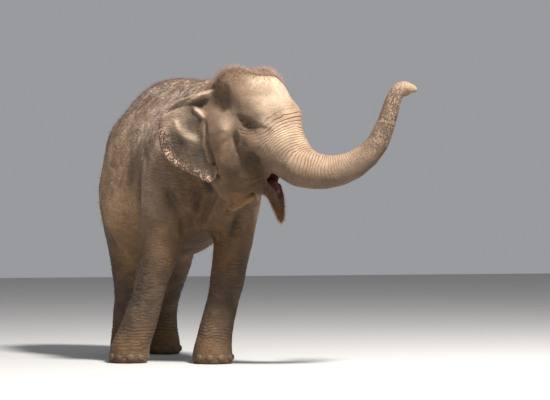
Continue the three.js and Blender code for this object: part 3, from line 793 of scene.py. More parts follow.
# pigment, how much of it, how wide and its path, from the middle of the head with both sides alike
headZones = [
    ("pale", 0.60, 0.170, [(0.060, 0.00, 0.300), (0.180, 0.05, 0.080)]),
    # paler still on the top of the head and of the trunk's root: pale dust with painted sunlight over it
    ("paleAndSunlit", 0.12, 0.120, [(0.020, 0.05, 0.300), (0.100, 0.08, 0.120)]),
    ("paleAndSunlit", 0.16, 0.045, [(-0.100, 0.22, 0.290), (0.060, 0.12, 0.370)]),
    ("paleAndSunlit", 0.35, 0.060, [(0.140, 0.12, 0.060), (0.240, 0.08, -0.060)]),
    # painted shade under the brow and round the eye
    ("dark", 0.52, 0.105, [
        (-0.060, 0.25, 0.050), (0.030, 0.25, -0.080), (0.020, 0.20, -0.260), (-0.080, 0.18, -0.420),
    ]),
    ("pale", 0.65, 0.065, [(-0.200, 0.30, 0.000), (-0.195, 0.29, -0.060)]),
    ("ochre", 0.55, 0.060, [(-0.220, 0.28, -0.130), (-0.240, 0.25, -0.280)]),
    ("pale", 0.30, 0.070, [(-0.230, 0.25, 0.120)]),
    # the next two: painted shade in the temple hollow
    ("dark", 0.28, 0.120, [(-0.320, 0.27, 0.220), (-0.270, 0.27, 0.120)]),
    ("dark", 0.22, 0.080, [(-0.215, 0.25, 0.240)]),
    # painted shade in the hollow behind the eye
    ("dark", 0.55, 0.045, [(-0.125, 0.27, -0.080), (-0.115, 0.27, -0.180)]),
    ("warm", 0.40, 0.055, [(0.020, 0.23, -0.110), (0.060, 0.22, -0.180)]),
    # painted shadow in the hollow behind the trunk's root
    ("dark", 0.85, 0.090, [(-0.020, 0.17, -0.270), (0.010, 0.12, -0.420)]),
    ("warm", 0.55, 0.140, [(-0.120, 0.20, -0.320), (-0.080, 0.20, -0.450)]),
    # painted shade over the cheek, on its warm tone
    ("dark", 0.90, 0.140, [(-0.120, 0.20, -0.320), (-0.080, 0.20, -0.450)]),
    ("warm", 0.85, 0.090, [(-0.240, 0.18, -0.520), (-0.020, 0.12, -0.500)]),
    # painted shade below the jaw's rim
    ("dark", 0.50, 0.090, [(-0.240, 0.18, -0.540), (-0.020, 0.12, -0.520)]),
    ("warm", 0.60, 0.050, [(-0.240, 0.20, -0.420)]),
    ("warm", 0.85, 0.032, [(-0.330, 0.10, -0.590), (-0.150, 0.12, -0.595), (0.030, 0.10, -0.570)]),
    ("warm", 0.85, 0.050, [
        (-0.440, 0.02, -0.640), (-0.350, 0.02, -0.680), (-0.250, 0.02, -0.650), (-0.120, 0.02, -0.580),
    ]),
    ("dark", 0.85, 0.100, [(0.080, 0.05, -0.560), (0.140, 0.00, -0.690)]),
    ("warm", 0.85, 0.050, [(0.150, 0.00, -0.740), (0.170, 0.00, -0.790)]),
    # painted shadow along the gap under the ear's front edge
    ("dark", 0.92, 0.024, [(-0.395, 0.27, 0.000), (-0.360, 0.26, -0.220), (-0.335, 0.22, -0.400)]),
]
# the same for the ears, from the root of the ear as (back, up)
earZones = [
    ("dark", 0.66, 0.600, [(0.200, -0.350)]),
    ("dark", 0.72, 0.260, [(0.150, -0.350), (0.050, -0.600)]),
    ("dark", 0.55, 0.060, [(0.030, -0.380), (0.040, -0.560), (0.060, -0.680)]),
    # painted shade behind the ear's raised front fold
    ("dark", 0.90, 0.070, [(0.060, -0.120), (0.050, -0.300), (0.060, -0.420)]),
    # painted shadow under the ear's curled top rim
    ("dark", 0.45, 0.070, [(0.120, -0.130), (0.240, -0.170)]),
    ("pale", 0.60, 0.026, [(0.00, 0.00), (0.150, -0.045), (0.300, -0.105), (0.395, -0.185)]),
    ("pale", 0.70, 0.024, [(0.110, -0.155), (0.050, -0.212), (0.012, -0.270)]),
    ("pale", 0.40, 0.045, [(0.290, -0.260), (0.225, -0.350), (0.150, -0.385)]),
    ("pale", 0.30, 0.070, [(0.340, -0.250), (0.250, -0.210)]),
    ("pink", 0.15, 0.040, [(0.430, -0.340), (0.340, -0.560), (0.160, -0.670), (0.000, -0.740)]),
]
# the same for the body, from the middle of the shoulders as (sideways, back, up) with both sides alike
bodyZones = [
    ("warm", 0.95, 0.320, [(0.10, -0.45, 1.35), (0.15, -0.30, 1.15)]),
    # painted shade on the chest under the head, over its warm tone
    ("dark", 0.70, 0.260, [(0.10, -0.45, 1.35), (0.15, -0.30, 1.15)]),
    ("pale", 0.25, 0.220, [(0.50, -0.10, 1.60), (0.45, -0.10, 1.30)]),
    ("dark", 0.50, 0.130, [(0.40, -0.25, 1.50), (0.36, -0.30, 1.36)]),
    ("pale", 0.25, 0.100, [(0.52, -0.02, 1.38), (0.54, 0.00, 1.55)]),
    # painted shade in the furrow between the shoulder and the flank
    ("dark", 0.55, 0.050, [(0.53, 0.14, 1.45), (0.48, 0.16, 1.12)]),
    ("dark", 0.55, 0.110, [(0.20, -0.30, 2.24), (0.30, -0.32, 2.05)]),
    ("dark", 0.30, 0.170, [(0.30, 1.25, 0.75), (0.30, 1.35, 0.45)]),
    # painted shade down both forelegs
    ("dark", 0.50, 0.230, [(0.42, -0.12, 0.85), (0.42, -0.16, 0.10)]),
    ("ochre", 0.90, 0.330, [(0.56, 0.55, 1.25), (0.56, 0.65, 1.45), (0.52, 0.95, 1.70)]),
    ("tan", 0.90, 0.300, [(0.56, 0.65, 1.46), (0.52, 0.95, 1.75)]),
    ("pale", 0.45, 0.180, [(0.50, 0.30, 1.95), (0.40, 0.25, 2.10)]),
    ("dark", 0.35, 0.120, [(0.53, 0.35, 1.62)]),
    ("ochre", 0.85, 0.240, [(0.50, 0.50, 1.05), (0.30, 0.90, 0.95)]),
    ("warm", 0.92, 0.340, [(0.10, 0.00, 1.00), (0.10, 0.60, 0.92)]),
    # painted shade under the belly, over its warm tone
    ("dark", 0.45, 0.320, [(0.10, 0.00, 1.00), (0.10, 0.60, 0.92)]),
    ("warm", 0.30, 0.160, [(0.30, 0.55, 2.16), (0.42, 0.95, 2.05)]),
    ("pink", 0.95, 0.050, [(0.565, 0.900, 1.900), (0.572, 0.860, 1.800)]),
]
# the inside of the mouth as (forward, sideways, up, radius) from the middle of the head
mouthRoute = [
    (-0.040, 0, -0.412, 0.034), (0.060, 0, -0.425, 0.066), (0.130, 0, -0.470, 0.066),
    (0.184, 0, -0.620, 0.034), (0.206, 0, -0.740, 0.012),
]


def inMouth(head):
    # how much each point belongs to the wet inside of the mouth
    inside = np.zeros(len(head))
    near = np.nonzero(np.linalg.norm(head - (0.10, 0, -0.52), axis=1) < 0.35)[0]
    for u, v, w, r in spline(mouthRoute, np.linspace(0, 0.75, 40)):
        apart = np.linalg.norm(head[near] - (u, v, w), axis=1)
        inside[near] = np.maximum(inside[near], smoothstep(1.22, 1.08, apart / r))
    return inside * smoothstep(-0.66, -0.56, head[:, 2])


def onEar(co, flap):
    # how far back from the root of the ear and how far up each point lies, far away where there is no ear
    head = inHead(co).astype(np.float64)
    place = np.full((len(co), 2), 9.0)
    for side in (1, -1):
        mine = (flap > 0.4) & (head[:, 1] * side > 0)
        u, v, w = head[mine].T
        rise = w - ear["root"][2]
        pushed = ear["lean"][side] * np.sin(np.clip(-rise / 0.75, 0, 1) * math.pi / 2)
        swing = ear["swing"][side]
        outwards = v * side - ear["root"][1] - pushed
        back = (ear["root"][0] - u) * math.cos(swing) + outwards * math.sin(swing)
        place[mine] = np.stack([back, rise], 1)
    return place


def dustStreaks(place, co):
    # pale streaks of dust that run down and back over the shoulders and the rump, unlike on the two sides
    leftSide = smoothstep(-0.06, 0.06, place[:, 0])
    place = place * (0, 1, 1) + np.abs(place) * (1, 0, 0)
    run = place @ (0.45, 0.55, -0.70)
    streaks = np.stack([run * 0.20, place @ (0.89, -0.28, 0.35), place @ (0.0, 0.79, 0.62)], 1)
    streaks = noise(streaks, 0.032, 24) * leftSide + noise(streaks, 0.032, 27) * (1 - leftSide)
    return np.clip(0.45 + 1.1 * streaks + 0.5 * noise(co, 0.22, 25), 0, 1.3)


# how much of its pigment each broad part of the animal takes, from 0 to 1
tintShares = {
    "dustAndSunOnBack": 0.95,
    "darkBelow": 0.74,
    "paintedShadeInFolds": 0.92,
    "warmFeet": 0.45,
    "darkUprightTrunk": 0.50,
    "paleAndSunlitTrunkTop": 0.34,
    "paintedShadeUnderTrunk": 0.35,
    "paleTrunkTip": 0.22,
}


def tintOf(co, normals, flap):
    tint = np.tile(np.array(pigments["hide"]), (len(co), 1))

    def lay(pigment, share):
        nonlocal tint
        tint += (np.array(pigments[pigment]) - tint) * np.clip(share, 0, 1)[:, None]

    ragged = 1 + 0.45 * noise(co, 0.09, 21) + 0.30 * noise(co, 0.035, 22)
    head = inHead(co).astype(np.float64)
    place = (co - shoulderPlace).astype(np.float64)
    body = smoothstep(-0.30, -0.60, head[:, 0])
    offEars = np.where(flap > 0.4, 0, 1)
    # pale dust streaks on the back, laid where the skin faces up, so the top of the back is also painted
    # lighter as if sunlit
    topOfBack = smoothstep(0.05, 0.70, normals[:, 2]) * smoothstep(1.5, 2.0, co[:, 2]) * body
    lay("dust", tintShares["dustAndSunOnBack"] * topOfBack * dustStreaks(place, co))
    lay("dark", tintShares["darkBelow"] * smoothstep(1.25, 0.85, co[:, 2]) * ragged)
    mirrored = place * (0, 1, 1) + np.abs(place) * (1, 0, 0)
    for pigment, share, width, path in bodyZones:
        lay(pigment, share * body * bell(pathDistance(mirrored, path), width) * ragged)
    # painted shade along the body's furrows
    lay("dark", tintShares["paintedShadeInFolds"] * np.clip(-foldsOfBody(co) / 0.026, 0, 1) * offEars * ragged)
    lay("warm", tintShares["warmFeet"] * smoothstep(0.60, 0.05, co[:, 2]) * ragged)

    along, across = onTrunk(co)
    girth = np.interp(along, trunkLength, trunkLine[:, 3])
    onIt = smoothstep(-0.05, 0.15, along)
    onIt *= smoothstep(1.9, 1.4, np.linalg.norm(across, axis=1) / girth)
    top = smoothstep(-0.6, 0.7, across[:, 0] / np.maximum(girth, 0.03))
    upright = smoothstep(0.85, 1.15, along) * smoothstep(1.70, 1.58, along)
    lay("dark", onIt * tintShares["darkUprightTrunk"] * upright * ragged)
    paler = np.interp(along, [0, 0.4, 0.8, 1.1, 1.5, 1.7], [1.2, 0.9, 0.9, 0.1, 0.1, 0.1])
    # the trunk's skin is paler, and its upper side paler still as painted sunlight
    lay("pale", onIt * (0.10 + tintShares["paleAndSunlitTrunkTop"] * top) * paler)
    # painted shade along the trunk's underside
    lay("dark", onIt * tintShares["paintedShadeUnderTrunk"] * (1 - top) * smoothstep(0.1, 0.4, along) * ragged)
    lay("pale", onIt * tintShares["paleTrunkTip"] * smoothstep(1.60, 1.72, along) * ragged)

    mirrored = head * (1, 0, 1) + np.abs(head) * (0, 1, 0)
    for pigment, share, width, path in headZones:
        lay(pigment, share * offEars * bell(pathDistance(mirrored, path), width) * ragged)
    ears = onEar(co, flap)
    for pigment, share, width, path in earZones:
        lay(pigment, share * bell(pathDistance(ears, path), width) * ragged)
    lay("mouth", inMouth(head))
    return tint


speckleBand = [(0.430, -0.300), (0.350, -0.540), (0.180, -0.660), (0.010, -0.740)]


def speckleOf(co, flap, along):
    # pink speckles lie in a band inside the ear's rear edge, and a few on the far half of the trunk
    away = lineDistance(onEar(co, flap), speckleBand)
    return bell(away, 0.040) + 0.25 * smoothstep(0.5, 1.6, along)


def coarsenessOf(co, flap, head, place):
    # the hide is cracked on the body, less so on the back and the ears, and again on the cheeks
    coarse = smoothstep(-0.30, -0.50, head[:, 0]) * (1 - 0.5 * flap) * (0.75 + 0.35 * noise(co, 0.3, 31))
    coarse *= 1 - 0.55 * smoothstep(1.80, 2.10, place[:, 2])
    jowl = smoothstep(0.12, -0.05, head[:, 0]) * smoothstep(-0.12, -0.35, head[:, 2])
    coarse += 0.40 * jowl * (1 - flap) * smoothstep(-0.50, -0.30, head[:, 0])
    return 0.22 + 0.78 * coarse


co, normals = pointsOf(skin), normalsOf(skin)
flap = recall(skin, "flap")
store(skin, "tint", tintOf(co, normals, flap))
for name, (phase, depth) in {"ring": trunkCreases(co), "fold": legCreases(co)}.items():
    store(skin, name + "Phase", phase)
    store(skin, name + "Depth", depth)
store(skin, "speckle", speckleOf(co, flap, onTrunk(co)[0]))
head = inHead(co).astype(np.float64)
place = co - shoulderPlace
store(skin, "wet", inMouth(head))
store(skin, "coarse", coarsenessOf(co, flap, head, place))
flank = smoothstep(0.08, 0.35, place[:, 1]) * smoothstep(0.9, 1.15, place[:, 2])
store(skin, "flank", np.minimum(flank, 1) * smoothstep(-0.40, -0.60, head[:, 0]))
print("hide coloured")


hideLooks = {
    "crackWidth": 0.22,
    "spots": (1.09, 0.96),  # lower values make fewer pink spots
    "ringWarmth": 0.55,  # how much warm pigment lies in the trunk's rings
    "grain": 0.0010,  # height of the finest grain in metres
    # how fine each net of cracks is, how much it is squeezed along each axis, and how it is turned
    "nets": {
        "level": (9.0, (1.0, 1.0, 4.2), (0.0, 0.0, 0.0)),
        "slanted": (11.0, (1.0, 1.0, 3.0), (0.85, 0.0, 0.0)),
        "crossed": (19.0, (1.0, 1.0, 2.4), (-0.6, 0.2, 0.0)),
        "fine": (130.0, (1.0, 1.0, 1.5), (0.0, 0.2, 0.0)),
    },
    # how much painted shade darkens each kind of groove, and how deep it is in metres
    "grooves": {
        "cracks": (0.42, 0.0050),
        "net": (0.14, 0.0005),
        "rings": (0.35, 0.0030),
        "halfRings": (0.0, 0.0014),
        "folds": (0.35, 0.0030),
    },
}


def newMaterial(name, roughness):
    material = bpy.data.materials.new(name)
    material.use_nodes = True
    shader = material.node_tree.nodes["Principled BSDF"]
    shader.inputs["Roughness"].default_value = roughness
    return material, shader


def node(tree, kind, inputs=None, **settings):
    made = tree.nodes.new("ShaderNode" + kind)
    for name, value in settings.items():
        setattr(made, name, value)
    for place, value in (inputs or {}).items():
        if isinstance(value, bpy.types.NodeSocket):
            tree.links.new(value, made.inputs[place])
        else:
            made.inputs[place].default_value = value
    return made


def maths(tree, operation, a, b=0.0, c=0.0):
    return node(tree, "Math", {0: a, 1: b, 2: c}, operation=operation).outputs[0]


def times(tree, a, b):
    return maths(tree, "MULTIPLY", a, b)


def dimmed(tree, light, pattern, share):
    # the light taken down by a share of it where the pattern is strong
    kept = maths(tree, "SUBTRACT", 1.0, times(tree, pattern, share))
    return times(tree, light, kept)


def scaled(tree, vector, factor):
    return node(tree, "VectorMath", {0: vector, 3: factor}, operation="SCALE").outputs["Vector"]


def shifted(tree, vector, shift):
    return node(tree, "VectorMath", {0: vector, 1: shift}, operation="ADD").outputs["Vector"]


def mixed(tree, share, a, b, blend="MIX"):
    return node(tree, "Mix", {0: share, 6: a, 7: b}, data_type="RGBA", blend_type=blend).outputs[2]


def attribute(tree, name, output="Fac"):
    return node(tree, "Attribute", attribute_name=name).outputs[output]


def ranged(tree, value, low, high, toLow=0.0, toHigh=1.0):
    inputs = {"Value": value, "From Min": low, "From Max": high, "To Min": toLow, "To Max": toHigh}
    return node(tree, "MapRange", inputs, interpolation_type="SMOOTHSTEP").outputs["Result"]


def noiseTexture(tree, vector, scale, detail=3.0, roughness=0.55):
    inputs = {"Vector": vector, "Scale": scale, "Detail": detail, "Roughness": roughness}
    return node(tree, "TexNoise", inputs).outputs["Fac"]


def cracks(tree, vector, scale, stretch, turn):
    # a net of fine grooves: 1 in a groove and 0 on the scales between
    inputs = {"Vector": vector, "Rotation": turn, "Scale": stretch}
    turned = node(tree, "Mapping", inputs).outputs["Vector"]
    wobble = node(tree, "TexNoise", {"Vector": vector, "Scale": scale * 0.6, "Detail": 4.0})
    moved = shifted(tree, turned, scaled(tree, wobble.outputs["Color"], 1.5 / scale))
    cell = node(tree, "TexVoronoi", {"Vector": moved, "Scale": scale}, feature="DISTANCE_TO_EDGE")
    return ranged(tree, cell.outputs["Distance"], 0.0, hideLooks["crackWidth"], 1.0, 0.0)


def broadCracks(tree, place, flank):
    # level cracks on limbs and chest, slanting ones on the flank, and finer ones across both
    nets = hideLooks["nets"]
    level, slanted, crossed = (cracks(tree, place, *nets[name]) for name in ("level", "slanted", "crossed"))
    broad = maths(tree, "MULTIPLY_ADD", flank, maths(tree, "SUBTRACT", slanted, level), level)
    patchy = ranged(tree, noiseTexture(tree, place, 5.0, 3.0), 0.35, 0.65, 0.35, 1.0)
    crossed = times(tree, crossed, maths(tree, "MULTIPLY_ADD", flank, 0.35, 0.40))
    return maths(tree, "MAXIMUM", times(tree, broad, patchy), crossed)


def ringsOf(tree, name, count, width):
    # 1 in the bottom of each crease, from the phase and the depth laid on the skin
    phase = times(tree, attribute(tree, name + "Phase"), count)
    away = maths(tree, "ABSOLUTE", maths(tree, "SUBTRACT", phase, maths(tree, "ROUND", phase)))
    return times(tree, ranged(tree, away, 0.0, width, 1.0, 0.0), attribute(tree, name + "Depth"))


def pinkSpots(tree, place):
    # ragged spots in loose clumps
    torn = node(tree, "TexNoise", {"Vector": place, "Scale": 90.0, "Detail": 3.0}).outputs["Color"]
    torn = shifted(tree, place, scaled(tree, torn, 0.016))
    spots = node(tree, "TexVoronoi", {"Vector": torn, "Scale": 62.0}).outputs["Distance"]
    ragged = maths(tree, "MULTIPLY_ADD", noiseTexture(tree, place, 14.0, 2.0), 1.3, spots)
    return times(tree, ranged(tree, ragged, *hideLooks["spots"]), attribute(tree, "speckle"))


def makeHide():
    material, shader = newMaterial("elephantHide", 0.8)
    tree = material.node_tree
    place = node(tree, "TexCoord").outputs["Object"]
    blotches = noiseTexture(tree, place, 7.0, 6.0, 0.62)
    grain = noiseTexture(tree, place, 70.0, 4.0, 0.6)
    wet = attribute(tree, "wet")
    grooves = {
        "cracks": times(tree, broadCracks(tree, place, attribute(tree, "flank")), attribute(tree, "coarse")),
        "net": cracks(tree, place, *hideLooks["nets"]["fine"]),
        "rings": ringsOf(tree, "ring", 1.0, 0.24),
        "halfRings": ringsOf(tree, "ring", 2.0, 0.40),
        "folds": ringsOf(tree, "fold", 1.0, 0.34),
    }
    light = ranged(tree, blotches, 0.25, 0.75, 0.72, 1.28)
    light = times(tree, light, ranged(tree, grain, 0.3, 0.7, 0.88, 1.12))
    height = times(tree, grain, hideLooks["grain"])
    for name, (dark, deep) in hideLooks["grooves"].items():
        # painted shade in the bottom of each groove
        light = dimmed(tree, light, grooves[name], dark)
        height = maths(tree, "MULTIPLY_ADD", grooves[name], -deep, height)

    colour = scaled(tree, attribute(tree, "tint", "Color"), light)
    warmed = times(tree, grooves["rings"], hideLooks["ringWarmth"])
    colour = mixed(tree, warmed, colour, (*pigments["warm"], 1))
    spotted = maths(tree, "MINIMUM", pinkSpots(tree, place), 1.0)
    colour = mixed(tree, spotted, colour, (*pigments["pink"], 1))
    tree.links.new(colour, shader.inputs["Base Color"])
    # the mouth is smooth and wet, and the rest is dry
    dryness = ranged(tree, grain, 0.3, 0.7, 0.78, 0.90)
    tree.links.new(maths(tree, "MULTIPLY_ADD", wet, -0.38, dryness), shader.inputs["Roughness"])
    height = times(tree, height, maths(tree, "SUBTRACT", 1.0, wet))
    bump = node(tree, "Bump", {"Height": height, "Distance": 1.0, "Strength": 1.0})
    tree.links.new(bump.outputs["Normal"], shader.inputs["Normal"])
    return material


def makeEyeMaterial():
    material, shader = newMaterial("eyeball", 0.06)
    tree = material.node_tree
    gaze = attribute(tree, "gaze")
    place = node(tree, "TexCoord").outputs["Object"]
    streaks = noiseTexture(tree, place, 400.0, 4.0)
    iris = mixed(tree, streaks, *eye["iris"])
    colour = mixed(tree, ranged(tree, gaze, 0.20, 0.27), eye["pupil"], iris)
    colour = mixed(tree, ranged(tree, gaze, 0.58, 0.70), colour, eye["outside"])
    tree.links.new(colour, shader.inputs["Base Color"])
    return material


nailSizes = {
    "voxel": 0.003,
    "rounding": 0.019,  # facets narrower than this are rounded off
    "sunk": 0.0035,  # how deep the nails are drawn into the hide
    "colours": ((0.052, 0.032, 0.019, 1), (0.130, 0.083, 0.048, 1)),  # the darkest and the lightest
}


def makeNailMaterial():
    material, shader = newMaterial("nailHorn", 0.75)
    tree = material.node_tree
    place = node(tree, "TexCoord").outputs["Object"]
    inputs = {"Vector": place, "Scale": 34.0, "Distortion": 14.0, "Detail": 4.0}
    layers = node(tree, "TexWave", inputs, bands_direction="Z")
    stain = noiseTexture(tree, place, 35.0, 5.0)
    colour = mixed(tree, stain, *nailSizes["colours"])
    colour = mixed(tree, 0.15, colour, layers.outputs["Color"], "MULTIPLY")
    tree.links.new(colour, shader.inputs["Base Color"])
    bump = node(tree, "Bump", {"Height": layers.outputs["Fac"], "Distance": 0.0008, "Strength": 0.5})
    tree.links.new(bump.outputs["Normal"], shader.inputs["Normal"])
    return material


def makeHairMaterial(name, root, tip):
    # each hair fades from its root to its tip, a little lighter or darker than its neighbours
    material, shader = newMaterial(name, 0.6)
    tree = material.node_tree
    colour = mixed(tree, attribute(tree, "alongHair"), (*root, 1), (*tip, 1))
    colour = scaled(tree, colour, attribute(tree, "shade"))
    tree.links.new(colour, shader.inputs["Base Color"])
    return material


def dress(piece, material, slot, *nodes):
    activate(piece)
    bpy.ops.object.shade_smooth()
    piece.data.materials.clear()
    piece.data.materials.append(material)
    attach(piece, "root")
    if nodes:
        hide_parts(*nodes)


dress(skin, makeHide(), "hide", *fleshNodes, *earNodes)


def makeEyeball(side, name, material):
    bpy.ops.object.select_all(action="DESELECT")
    bpy.ops.mesh.primitive_uv_sphere_add(segments=48, ring_count=48, radius=eye["radius"])
    piece = bpy.context.active_object
    piece.name = "eyeball_" + name
    co = pointsOf(piece)
    angle = np.arccos(np.clip(co[:, 2] / eye["radius"], -1, 1))
    co[:, 2] += 0.0012 * bell(angle, 0.55)
    store(piece, "gaze", angle)
    placePoints(piece, co @ eyeAxes(side) + eyeCentres[side])
    with editing(piece):
        bpy.ops.mesh.normals_make_consistent(inside=False)
    dress(piece, material, "eye", "eye_" + name)


eyeMaterial = makeEyeMaterial()
for side, name in ((1, "left"), (-1, "right")):
    makeEyeball(side, name, eyeMaterial)


def makeNails():
    piece = fuse([copyOf(name) for name in nailNodes], "toenails", nailSizes["voxel"], False)
    roundOff(piece, np.full(len(piece.data.vertices), nailSizes["rounding"]), 0.003)
    placePoints(piece, pointsOf(piece) - normalsOf(piece) * nailSizes["sunk"])
    apply(piece, "TRIANGULATE")
    return piece


dress(makeNails(), makeNailMaterial(), "nail", *nailNodes)
print("eyes and nails made")


# the next four functions say how thickly each kind of hair grows, from 0 up
def crownShare(co, normals):
    head = inHead(co)
    dome = smoothstep(0.22, 0.50, head[:, 2]) ** 2
    dome += 0.8 * smoothstep(-0.10, -0.42, head[:, 0]) * smoothstep(0.16, 0.34, head[:, 2])
    behind = smoothstep(-0.62, -0.45, head[:, 0]) * smoothstep(0.26, -0.10, head[:, 0])
    patchy = np.clip(0.65 + 0.8 * noise(co, 0.07, 41), 0.1, 1.3)
    return np.minimum(dome, 1) * behind * patchy * (0.25 + 0.75 * smoothstep(0.1, 0.8, normals[:, 2]))


def backShare(co, normals):
    onBody = smoothstep(-0.45, -0.60, inHead(co)[:, 0])
    top = smoothstep(0.30, 0.95, normals[:, 2]) * smoothstep(1.5, 2.0, co[:, 2])
    return onBody * (0.06 + top) * (co[:, 2] > 0.3)


def faceShare(co, normals):
    head = np.abs(inHead(co)) * (0, 1, 0) + inHead(co) * (1, 0, 1)
    lip = lineDistance(head, [(0.08, 0.06, -0.60), (0.14, 0.02, -0.70), (0.17, 0, -0.79)])
    chin = lineDistance(head, [(-0.36, 0.08, -0.62), (-0.10, 0.12, -0.62), (0.05, 0.08, -0.60)])
    share = 2.2 * bell(lip, 0.060) + 0.5 * bell(chin, 0.06)
    share += 0.05 * ((head[:, 0] > -0.3) & (head[:, 2] > -0.6))
    return share * (1 - inMouth(head)) * smoothstep(0.045, 0.075, eyeDistance(co))


def tailShare(co, normals):
    place = co - shoulderPlace
    return ((place[:, 1] > 1.66) & (place[:, 2] < 1.17)) * smoothstep(1.17, 1.02, place[:, 2])


def evenLength(roots):
    return np.ones(len(roots))


def lipLength(roots):
    # hair grows long on the lower lip and stays short on the rest of the face
    head = inHead(roots.astype(np.float32))
    onLip = (head[:, 2] < -0.50) & (head[:, 0] < 0.25)
    return np.where(onLip, np.interp(head[:, 2], [-0.75, -0.60], [1.7, 1.0]), 0.45)


hairSizes = {
    "patch": 0.003,  # each hair's share of the colour map
    "mapTriangles": 9000,
    "sunk": 0.0015,  # how deep each root sits in the skin
}
coats = {
    # length and thickness in metres, how upright from 0 to 1, how curled, how far out of line, how much the
    # hair lies along the skin from 0 to 1, heights of the cuts where a hair can bend, and colours
    "crownHair": {
        "count": 8500, "length": 0.056, "thick": 0.0008, "stand": 0.75, "curl": 0.35, "scatter": 0.26,
        "flat": 1.0, "cuts": (-0.05,), "root": (0.190, 0.125, 0.085), "tip": (0.280, 0.165, 0.112),
        "share": crownShare, "lengths": evenLength, "replaces": [],
    },
    "backHair": {
        "count": 14000, "length": 0.040, "thick": 0.0010, "stand": 0.45, "curl": 0.30, "scatter": 0.22,
        "flat": 1.0, "cuts": (-0.05,), "root": (0.080, 0.050, 0.034), "tip": (0.190, 0.095, 0.055),
        "share": backShare, "lengths": evenLength, "replaces": [],
    },
    "faceHair": {
        "count": 7500, "length": 0.026, "thick": 0.0008, "stand": 0.50, "curl": 0.25, "scatter": 0.22,
        "flat": 0.6, "cuts": (-0.05,), "root": (0.110, 0.050, 0.018), "tip": (0.380, 0.175, 0.050),
        "share": faceShare, "lengths": lipLength, "replaces": [],
    },
    "tailHair": {
        "count": 2200, "length": 0.210, "thick": 0.0017, "stand": 0.05, "curl": 0.10, "scatter": 0.07,
        "flat": 0.0, "cuts": (-0.2, 0.15), "root": (0.018, 0.012, 0.010), "tip": (0.040, 0.026, 0.020),
        "share": tailShare, "lengths": evenLength, "replaces": ["tail_tuft"],
    },
}


def lieOfCoat(co):
    # the way hair lies on each part: back over the head and the body, down the tail and the lip
    head = inHead(co)
    back = np.tile(-headAxes[0] * 0.8 - headAxes[2] * 0.6, (len(co), 1))
    rear = np.tile(np.array([0, 0.8, -0.6], np.float32), (len(co), 1))
    way = np.where((head[:, 0] > -0.45)[:, None], back, rear)
    onLip = (head[:, 2] < -0.45) & (head[:, 0] > -0.5)
    onTail = (co - shoulderPlace)[:, 1] > 1.66
    way[onLip | onTail] = (0, 0, -1)
    return way


def unwrapSkin():
    # a light copy of the skin, unwrapped, to place each hair on the colour map
    chart = skin.copy()
    chart.data = skin.data.copy()
    bpy.context.scene.collection.objects.link(chart)
    apply(chart, "DECIMATE", ratio=hairSizes["mapTriangles"] / len(skin.data.polygons))
    with editing(chart):
        bpy.ops.uv.smart_project(angle_limit=1.15, island_margin=0.004)
    apply(chart, "TRIANGULATE")
    co = pointsOf(chart).astype(np.float64)
    triangles = cornersOf(chart).reshape(-1, 3)
    flat = np.empty(triangles.size * 2, np.float32)
    chart.data.uv_layers.active.data.foreach_get("uv", flat)
    tree = BVHTree.FromPolygons(co.tolist(), triangles.tolist())
    bpy.data.objects.remove(chart)
    return tree, co[triangles], flat.reshape(-1, 3, 2)


def placeOnMap(roots, chart):
    # where each root lies on the unwrapped skin, by its shares of the nearest triangle's corners
    tree, corners, flat = chart
    found = np.array([tree.find_nearest(Vector(root))[2] for root in roots])
    a, b, c = corners[found].transpose(1, 0, 2)
    ab, ac, ap = b - a, c - a, roots - a
    d00, d01, d11 = (ab * ab).sum(1), (ab * ac).sum(1), (ac * ac).sum(1)
    d20, d21 = (ap * ab).sum(1), (ap * ac).sum(1)
    under = np.maximum(d00 * d11 - d01 * d01, 1e-12)
    second = np.clip((d11 * d20 - d01 * d21) / under, 0, 1)
    third = np.clip((d00 * d21 - d01 * d20) / under, 0, 1)
    share = np.stack([1 - second - third, second, third], 1)
    return (flat[found] * share[:, :, None]).sum(1)


def rootsOn(share, count, draw):
    # random places on the skin, more of them where the share is larger
    triangles = cornersOf(skin).reshape(-1, 3)
    co, normals = pointsOf(skin).astype(np.float64), normalsOf(skin).astype(np.float64)
    a, b, c = co[triangles].transpose(1, 0, 2)
    weight = np.linalg.norm(np.cross(b - a, c - a), axis=1) * share[triangles].mean(1)
    picked = np.searchsorted(np.cumsum(weight) / weight.sum(), draw.random(count))
    picked = picked.clip(0, len(weight) - 1)
    s, t = draw.random((2, count))
    over = s + t > 1
    s[over], t[over] = 1 - s[over], 1 - t[over]
    mix = np.stack([1 - s - t, s, t], 1)[:, :, None]
    return (co[triangles[picked]] * mix).sum(1), (normals[triangles[picked]] * mix).sum(1)


def unit(vectors):
    return vectors / np.maximum(np.linalg.norm(vectors, axis=1), 1e-3)[:, None]


def hairMesh(name, count, cuts):
    # many copies of one straight hair, and the points of that hair
    bpy.ops.object.select_all(action="DESELECT")
    bpy.ops.mesh.primitive_cone_add(vertices=3, radius1=1, radius2=0, depth=1, location=(0, 0, 0))
    piece = bpy.context.active_object
    piece.name = name
    with editing(piece):
        for level in cuts:
            bpy.ops.mesh.select_all(action="SELECT")
            bpy.ops.mesh.bisect(plane_co=(0, 0, level), plane_no=(0, 0, 1))
    apply(piece, "TRIANGULATE")
    one = pointsOf(piece).astype(np.float64)
    apply(piece, "ARRAY", count=count, use_relative_offset=False, use_constant_offset=False)
    return piece, one


